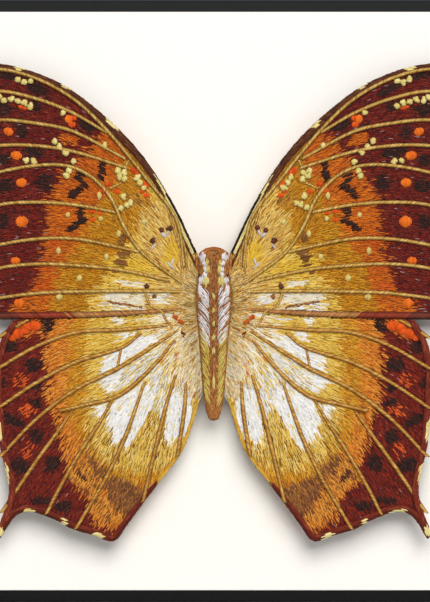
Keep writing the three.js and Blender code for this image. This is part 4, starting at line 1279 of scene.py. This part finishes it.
# %% Forewing work
SHOULDER_LINE = [(12.6, 27.2), (10.3, 21.3), (8.3, 16.8), (6.6, 13), (5.6, 9.6)]
SHOULDER = [(5.9, 16.3), (5.7, 13.5), (5.5, 11), (5.1, 8.0)]
COSTA_WIDTHS = [1.7, 1.8, 2.2, 2.6, 2.6, 2.6, 2.6, 2.6, 2.6]
SEAM_WIDTHS = (1.4, 1.35, 1.15, 0.35)
LINE_WIDTHS = (0.2, 0.3, 0.34, 0.34)
SHOULDER_WIDTHS = (0.35, 0.75, 0.7, 0.4)
SEAM_RISE = 1.1
KNOT_SETS = ((KNOTS, 1.15, "knot_cream"), (DARK_KNOTS, 0.95, "knot_brown"), (SOFT_KNOTS, 0.8, "hem_brown"))
BAR_SETS = ((DARK_BARS, "dark"), (BROWN_BARS, "cell_brown"), (FINE_LINE, "line_brown"))
FORE_SPOTS = ((DOTS, "bright", 10, 0.36), (RED_SATIN, "red", 8, 0.22), (CREAM_SPOTS, "knot_cream", 5, 0.35),
              (WHITE_HOOKS, "hook_grey", 3, 0.35))


def forewing_work(side):
    """Everything raised on a forewing."""
    outline = OUTLINES["forewing"]
    margin, seam = smooth_path(FOREWING["margin"]), smooth_path(FOREWING["seam"]) + (0, SEAM_RISE)
    rows = [stem_rows(COSTA, outline, COSTA_WIDTHS, 0.8, side, costa_mix),
            stem_rows(margin, outline, [2.0], 0.7, side, border_mix("forewing", "costa_brown")),
            wrapped_cord(seam, SEAM_WIDTHS, 0.85, side, seam_mix, pitch=0.5, slant=1.2)]
    line, roll = smooth_path(SHOULDER_LINE), smooth_path(SHOULDER)
    shoulder = [wrapped_cord(line, LINE_WIDTHS, 0.6, side, one_mix("costa_brown"), pitch=0.34, slant=2.0),
                wrapped_cord(roll, SHOULDER_WIDTHS, 1.7, side, one_mix("body_brown"), pitch=0.4, slant=0.6)]
    bars = []
    for lines, mix in BAR_SETS:
        bars += bar_stitches(lines, mix, side)
    work = vein_cords("forewing", side) + rows + bars + shoulder
    work += [knot_lobes(places, radius, mix, side) for places, radius, mix in KNOT_SETS]
    work += [satin_spots(spots, mix, side, lines, rise) for spots, mix, lines, rise in FORE_SPOTS]
    return work


print("sets of knots, bars and spots:", len(KNOT_SETS), len(BAR_SETS), len(FORE_SPOTS))

# %% [markdown]
# ## Raised work of the hindwings
# A hindwing has two padded red borders, along its outer margin and along its hem with the tail, and a fine
# gold edge beside the body. Its spots are orange satin under the seam and small flecks at the root. Left
# and right are made in turn, each with its own stitches.

# %% Hindwing work
HEM_WIDTHS = [2.2, 2.2, 2.2, 2.2, 2.2, 2.2, 2.1, 1.6, 0.5]
HIND_SPOTS = ((ORANGE_SATIN, "red", 11, 0.35, 0.1), (ROOT_FLECKS, "seam_red", 3, 0.2, 0.5),
              (ROOT_ORANGE, "ember", 3, 0.1, 0.4))


def hindwing_work(side):
    """Everything raised on a hindwing."""
    outline = OUTLINES["hindwing"]
    margin = smooth_path(HINDWING["margin"])
    inner = smooth_path([(21.5, -65.2)] + HINDWING["inner"][3:])
    rows = [stem_rows(margin, outline, [2.2], 1.4, side, border_mix("hindwing", "border_red")),
            stem_rows(HEM, outline, HEM_WIDTHS, 1.4, side, hem_mix),
            stem_rows(inner, outline, [1.0], 0.6, side, one_mix("inner_gold"))]
    work = vein_cords("hindwing", side) + rows
    work += [satin_spots(spots, mix, side, *padding) for spots, mix, *padding in HIND_SPOTS]
    return work


for half, side in SIDES.items():
    stitched_piece(f"forewing_raised_work_{half}", forewing_work(side), COTTON)
    stitched_piece(f"hindwing_raised_work_{half}", hindwing_work(side), COTTON)

# %% [markdown]
# ## The body's cloth
# The body is a padded spindle of cloth, worked over with thread. Its half width follows a profile of points
# from tail to head, and it is flattened to half its depth. A cloth simulation could puff it up, but it is
# small, tight and fully stitched, so rings of points give the same shape.

# %% Body cloth
BODY = np.array([(0, -40.7), (1.6, -40), (2.7, -37), (3.6, -31), (4.4, -21), (5.2, -10.5), (5.8, -5),
                 (6.1, 1.2), (5.7, 5.5), (5.1, 9), (5.3, 11.5), (5.3, 14.6), (4.6, 16.6), (2.6, 17.9),
                 (0, 18.3)])
BODY_DEPTH = 0.5
BODY_MIDDLE = WING_BACK + BODY_DEPTH * BODY[:, 0].max()
AROUND = 32


def body_half_width(up):
    """Half the body's width at a height, straight between the profile's points."""
    return np.interp(up, BODY[:, 1], BODY[:, 0])


def body_cloth():
    """Rings around the body: half width times cosine across, half depth times sine forward, ends closed."""
    turn = np.linspace(0, 2 * np.pi, AROUND, endpoint=False)
    up = np.concatenate([np.linspace(-40.6, -37, 6), np.linspace(-35, 15, 30), np.linspace(16, 18.25, 8)])
    half = np.maximum(body_half_width(up) - 0.25, 0.05)[:, None]
    rings = place(half * np.cos(turn), up[:, None], BODY_MIDDLE + BODY_DEPTH * half * np.sin(turn), 1)
    ends = place(np.zeros(2), np.array([-40.65, 18.28]), np.full(2, BODY_MIDDLE), 1)
    points = np.concatenate([rings.reshape(-1, 3), ends])
    row, col = np.meshgrid(np.arange(len(up) - 1), np.arange(AROUND), indexing="ij")
    a, b = AROUND * row + col, AROUND * row + (col + 1) % AROUND
    lower, upper = np.stack([a, a + AROUND, b + AROUND], -1), np.stack([a, b + AROUND, b], -1)
    sides = np.concatenate([lower, upper]).reshape(-1, 3)
    ring, top = np.arange(AROUND), AROUND * (len(up) - 1)
    foot = np.stack([np.full(AROUND, len(points) - 2), ring, (ring + 1) % AROUND], axis=1)
    crown = np.stack([np.full(AROUND, len(points) - 1), top + (ring + 1) % AROUND, top + ring], axis=1)
    return points, np.concatenate([sides, foot, crown])


body_piece = new_piece("body_cloth", *body_cloth(), PAINTED_CLOTH["body"])
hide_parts("body")
print("body cloth:", len(body_piece.data.polygons), "triangles")

# %% [markdown]
# ## Ground stitches of the body
# The whole body is covered with fine brown stitches laid lengthwise, column beside column. They lie on the
# front half of the spindle, where they can be seen, and follow its roundness: a place across the body gives
# the place forward on the half ellipse.

# %% Body ground
THREAD_SINK = 0.08


def on_body(across, up, lift=0.0):
    """Out and forward on the body's face: across of -1 to 1 of its width, on the half ellipse plus lift."""
    half = body_half_width(up) - THREAD_SINK
    across = np.clip(across, -1, 1)
    return half * across, BODY_MIDDLE + BODY_DEPTH * half * np.sqrt(1 - across ** 2) + lift


def body_ground_stitches():
    """Fine brown stitches down the whole body: columns across it, each a chain of overlapping stitches."""
    column, row = np.meshgrid(np.sin(np.linspace(-1.45, 1.45, 54)), np.arange(-40.2, 17, 1.0))
    across = column.ravel() + rng.normal(0, 0.012, column.size)
    low = row.ravel() + rng.uniform(-0.5, 0.5, column.size)
    up = np.clip(low[:, None] + np.array([0, 0.3, 1.3, 1.6]), -40.4, 18)
    out, forward = on_body(across[:, None], up, np.array([-0.05, 0.08, 0.08, -0.05]))
    steep = np.stack([across, -np.sqrt(1 - across ** 2), 0 * across], axis=1)[:, None]
    shades = draw_shades("body_brown", column.size, 0.3)
    return threads(place(out, up, forward, 1), steep, 0.17, 0.13, shades, corners=3)


front = on_body(0.0, 0.0)[1]
print(f"body stands {front - WING_FACE:.1f} mm in front of the wings' cloth")

# %% [markdown]
# ## Hair, spots and the head's arch
# Pale and green hair slants down both sides of the back towards the midline. It is spread evenly from top
# to bottom, so no heap forms. Satin patches make the eyes, the pale blotches on the thorax and the dashes
# down the middle, and four threads side by side arch over the head.

# %% Body hair
def body_hair(side, mix, count, top, bottom, inner, outer):
    """Loose stitches that slant down to the midline, between two heights and two shares of the half width."""
    start_up = bottom + (top - bottom) * (np.arange(count) + rng.uniform(0, 1, count)) / count
    start = np.clip(rng.uniform(inner + 0.25, outer + 0.1, count), 0, outer)
    share = np.array([0, 0.12, 0.5, 0.88, 1])
    across = np.maximum(start[:, None] - rng.uniform(0.3, 0.5, (count, 1)) * share, inner)
    up = np.maximum(start_up[:, None] - rng.uniform(2.2, 3.6, (count, 1)) * share, -37)
    lift = rng.uniform(0.15, 0.35, (count, 1)) * np.array([0, 1, 1, 1, 0]) + 0.05
    out, forward = on_body(across, up, lift)
    shades = draw_shades(mix, count, 0.1)
    return threads(place(out, up, forward, side), (0.4 * side, -0.9, 0), 0.12, 0.12, shades, 0.9)


HAIR = (("lilac", 74, 5.5, -12.5, 0.28, 0.95), ("body_green", 80, -9.5, -33, 0.36, 0.94))
print("hairs on each side:", sum(tuft[1] for tuft in HAIR))

# %% Body spots and arch
EYES = [(3.85, 15.1, 1.15, 1.75)]
PALE_BLOTCHES = [(3.2, 12.6, 0.75, 1.0), (2.95, 10.7, 0.6, 1.1), (2.95, 8.9, 0.65, 1.15),
                 (4.2, 7.0, 0.9, 1.5), (4.6, 3.8, 0.75, 2.2)]
YELLOW_BLOTCHES = [(2.2, 13.0, 0.5, 1.2), (1.95, 10.5, 0.65, 1.7), (2.6, 6.8, 1.1, 1.9)]
DASHES = [(0, 1.7, 0.45, 1.25), (0, -3.1, 0.4, 1.25), (0, -7.6, 0.4, 1.25), (0, -12.2, 0.5, 1.2),
          (0, -17, 0.5, 1.3), (0, -27.9, 0.4, 2.7)]
DARK_SPOTS = [(4.9, 8.4, 0.5, 0.7)]
BLOTCHES = ((EYES, "lilac"), (PALE_BLOTCHES, "lilac"), (YELLOW_BLOTCHES, "knot_cream"), (DARK_SPOTS, "dark"))


def body_spots(spots, mix, side, lines=8):
    """Satin patches on the body: lengthwise threads over ellipses given by middle and half sizes."""
    spots = np.asarray(spots, float)
    where = (np.arange(lines) + 0.5) / lines * 2 - 1
    share = np.array([-1, -0.8, 0, 0.8, 1])
    out = (spots[:, :1] + where * spots[:, 2:3])[..., None]
    out = np.broadcast_to(out, (len(spots), lines, 5)).reshape(-1, 5)
    ragged = rng.uniform(0.75, 1.25, (len(spots), lines, 1))
    shift = rng.normal(0, 0.22, (len(spots), lines, 1))
    reach = ragged * np.sqrt(1 - where ** 2)[:, None] * spots[:, 3, None, None] * share
    up = (spots[:, 1, None, None] + shift + reach).reshape(-1, 5)
    across = out / (body_half_width(up) - THREAD_SINK)
    out, forward = on_body(across, up, 0.35 * np.sqrt(1.02 - share ** 2))
    half = np.repeat(spots[:, 2] / lines * 1.15, lines)
    shades = draw_shades(mix, len(half), 0.06)
    return threads(place(out, up, forward, side), (0, -1, 0), half, 0.12, shades, 0.9)


def head_arch():
    """A dark thread and three light ones in an arch over the head: up falls with the square of out."""
    share = np.linspace(-1, 1, 13)
    row = np.array([1.05, 0.0, 0.36, 0.72])[:, None]
    out = (5.4 - 0.6 * row) * share
    up = 18.2 - row - 2.6 * share ** 2
    forward = BODY_MIDDLE + 0.9 + 0.6 * row + 0.4 * (1 - share ** 2)
    colours = np.concatenate([draw_shades("knot_brown", 1), draw_shades("arch", 3)])
    return threads(place(out, up, forward, 1), (0, -0.8, 0.6), 0.22, 0.22, colours, 0.9)


print("patches on each side:", sum(len(spots) for spots, _ in BLOTCHES), "dashes:", len(DASHES))

# %% [markdown]
# ## Fringe over the wings' roots
# Loose stitches cover the joint between wings and body. Each starts beside the body and points away from
# the middle of the thorax, and the fringe is highest by the body, like a skirt. They are gold above and
# pale below, and leave a white patch on the hindwing free.

# %% Root fringe
FRINGE = 3300


def root_fringe(side):
    """Loose stitches over the wings' roots, pointing away from the thorax, lower further from the body."""
    up = rng.uniform(-31, 9, FRINGE)
    close = rng.uniform(0, 1, FRINGE) < 0.4
    beside = rng.uniform(-0.9, 0.05, FRINGE)
    away = np.where(close, beside, np.abs(rng.normal(0, 3.2, FRINGE)))
    start = body_half_width(up) + away
    turn = np.arctan2(up + 3, start + 1.5) + rng.normal(0, 0.27, FRINGE)
    run = rng.uniform(1.8, 5.2, (FRINGE, 1)) * np.linspace(0, 1, 4)
    line = np.stack([start[:, None] + np.cos(turn)[:, None] * run,
                     up[:, None] + np.sin(turn)[:, None] * run], axis=-1)
    tip = line[:, -1]
    keep = inside_outline(tip, OUTLINES["forewing"]) | inside_outline(tip, OUTLINES["hindwing"])
    keep &= ~inside_outline(tip, ROOT_PATCH) & ~inside_outline(line[:, 1], ROOT_PATCH)
    skirt = 0.35 + (0.75 + 0.22 * body_half_width(up)) * np.exp(-np.maximum(away, 0) / 1.2)
    lift = skirt[:, None] * rng.uniform(0.9, 1.1, (FRINGE, 1)) * np.array([1, 0.7, 0.35, 0])
    spine = place(line[..., 0], line[..., 1], WING_FACE + lift, side)[keep]
    gold = (up + rng.normal(0, 3, FRINGE) > -11)[keep][:, None]
    golden = draw_shades("root_gold", len(spine), 0.28)
    colours = np.where(gold, golden, draw_shades("base", len(spine), 0.25))
    return threads(spine, (0, -1, 0), 0.11, 0.1, colours, corners=3)


body_work = [body_ground_stitches(), head_arch(), body_spots(DASHES, "knot_cream", 1, 4)]
for side in SIDES.values():
    body_work.append(root_fringe(side))
    body_work += [body_hair(side, *tuft) for tuft in HAIR]
    body_work += [body_spots(spots, mix, side) for spots, mix in BLOTCHES]
stitched_piece("body_stitches", body_work, COTTON)

# %% [markdown]
# ## Frame, boards and metal
# The rails and boards keep their solids. The rails have a black powder coat with a fine texture, the mount
# board is smooth paper with a faint tooth, the foam is matte, the hardboard is pressed brown fibre, and the
# clips, keys and hanger are zinc-plated steel. One finish with two shades and a grain fits them all.

# %% Finishes of the solids
def speckled(name, dark, light, rough, size, cloudy, depth, metallic=0.0):
    """A finish between two shades by grain, with its roughness range and a bump of the same grain."""
    material, nodes, link, shader = finish(name)
    mask = add_grain(nodes, size, cloudy)
    link(ramp(nodes, link, mask, [(0.3, dark), (0.7, light)]), shader.inputs["Base Color"])
    link(span(nodes, link, mask, *rough), shader.inputs["Roughness"])
    bump(nodes, link, mask, 0.5, depth, shader)
    shader.inputs["Metallic"].default_value = metallic
    return material


SOLID_FINISHES = {
    "powder_coat": speckled("black_powder_coat", shade(11, 11, 12), shade(24, 25, 26),
                            (0.5, 0.7), 2600, 0.15, 0.00008),
    "board": speckled("off_white_board", shade(243, 239, 232), shade(246, 242, 236),
                      (0.85, 0.95), 2400, 0.4, 0.00003),
    "foam": speckled("foam_board", shade(222, 219, 210), shade(236, 233, 224),
                     (0.8, 0.95), 900, 0.2, 0.0001),
    "hardboard": speckled("brown_hardboard", shade(96, 62, 40), shade(140, 96, 64),
                          (0.6, 0.85), 700, 0.5, 0.0001),
    "steel": speckled("zinc_plated_steel", shade(158, 160, 162), shade(190, 192, 194),
                      (0.28, 0.45), 500, 0.6, 0.00002, 1.0),
}
coat = SOLID_FINISHES["powder_coat"].node_tree.nodes["Principled BSDF"]
coat.inputs["Specular IOR Level"].default_value = 0.14
slots = {part["node"]: part["material_slot"] for part in frame["record"]["subparts"]}
for name, slot in slots.items():
    if slot in SOLID_FINISHES:
        node = bpy.data.objects[name]
        node.data.materials.clear()
        node.data.materials.append(SOLID_FINISHES[slot])
print("solids finished:", sum(slot in SOLID_FINISHES for slot in slots.values()))

# %% [markdown]
# ## Floor
# The picture stands on its bottom edge on a plain pale floor, which isn't part of it. A hair's gap below
# keeps the two faces from fighting over the same place.

# %% Floor
FLOOR_HALF = 3.0
FLOOR_GAP = 0.0002
floor_mesh = bpy.data.meshes.new("floor")
corners = np.array([(-1, -1), (1, -1), (1, 1), (-1, 1)]) * FLOOR_HALF
floor_level = np.full((4, 1), cad_low.z - FLOOR_GAP)
floor_mesh.from_pydata(np.hstack([corners, floor_level]), [], [(0, 1, 2, 3)])
floor_finish = speckled("grey_floor", shade(206, 206, 205), shade(213, 213, 212), (0.8, 0.9), 60, 0.3, 0.0001)
floor_mesh.materials.append(floor_finish)
floor = bpy.data.objects.new("floor", floor_mesh)
bpy.context.collection.objects.link(floor)
print("floor at", round(cad_low.z, 4))
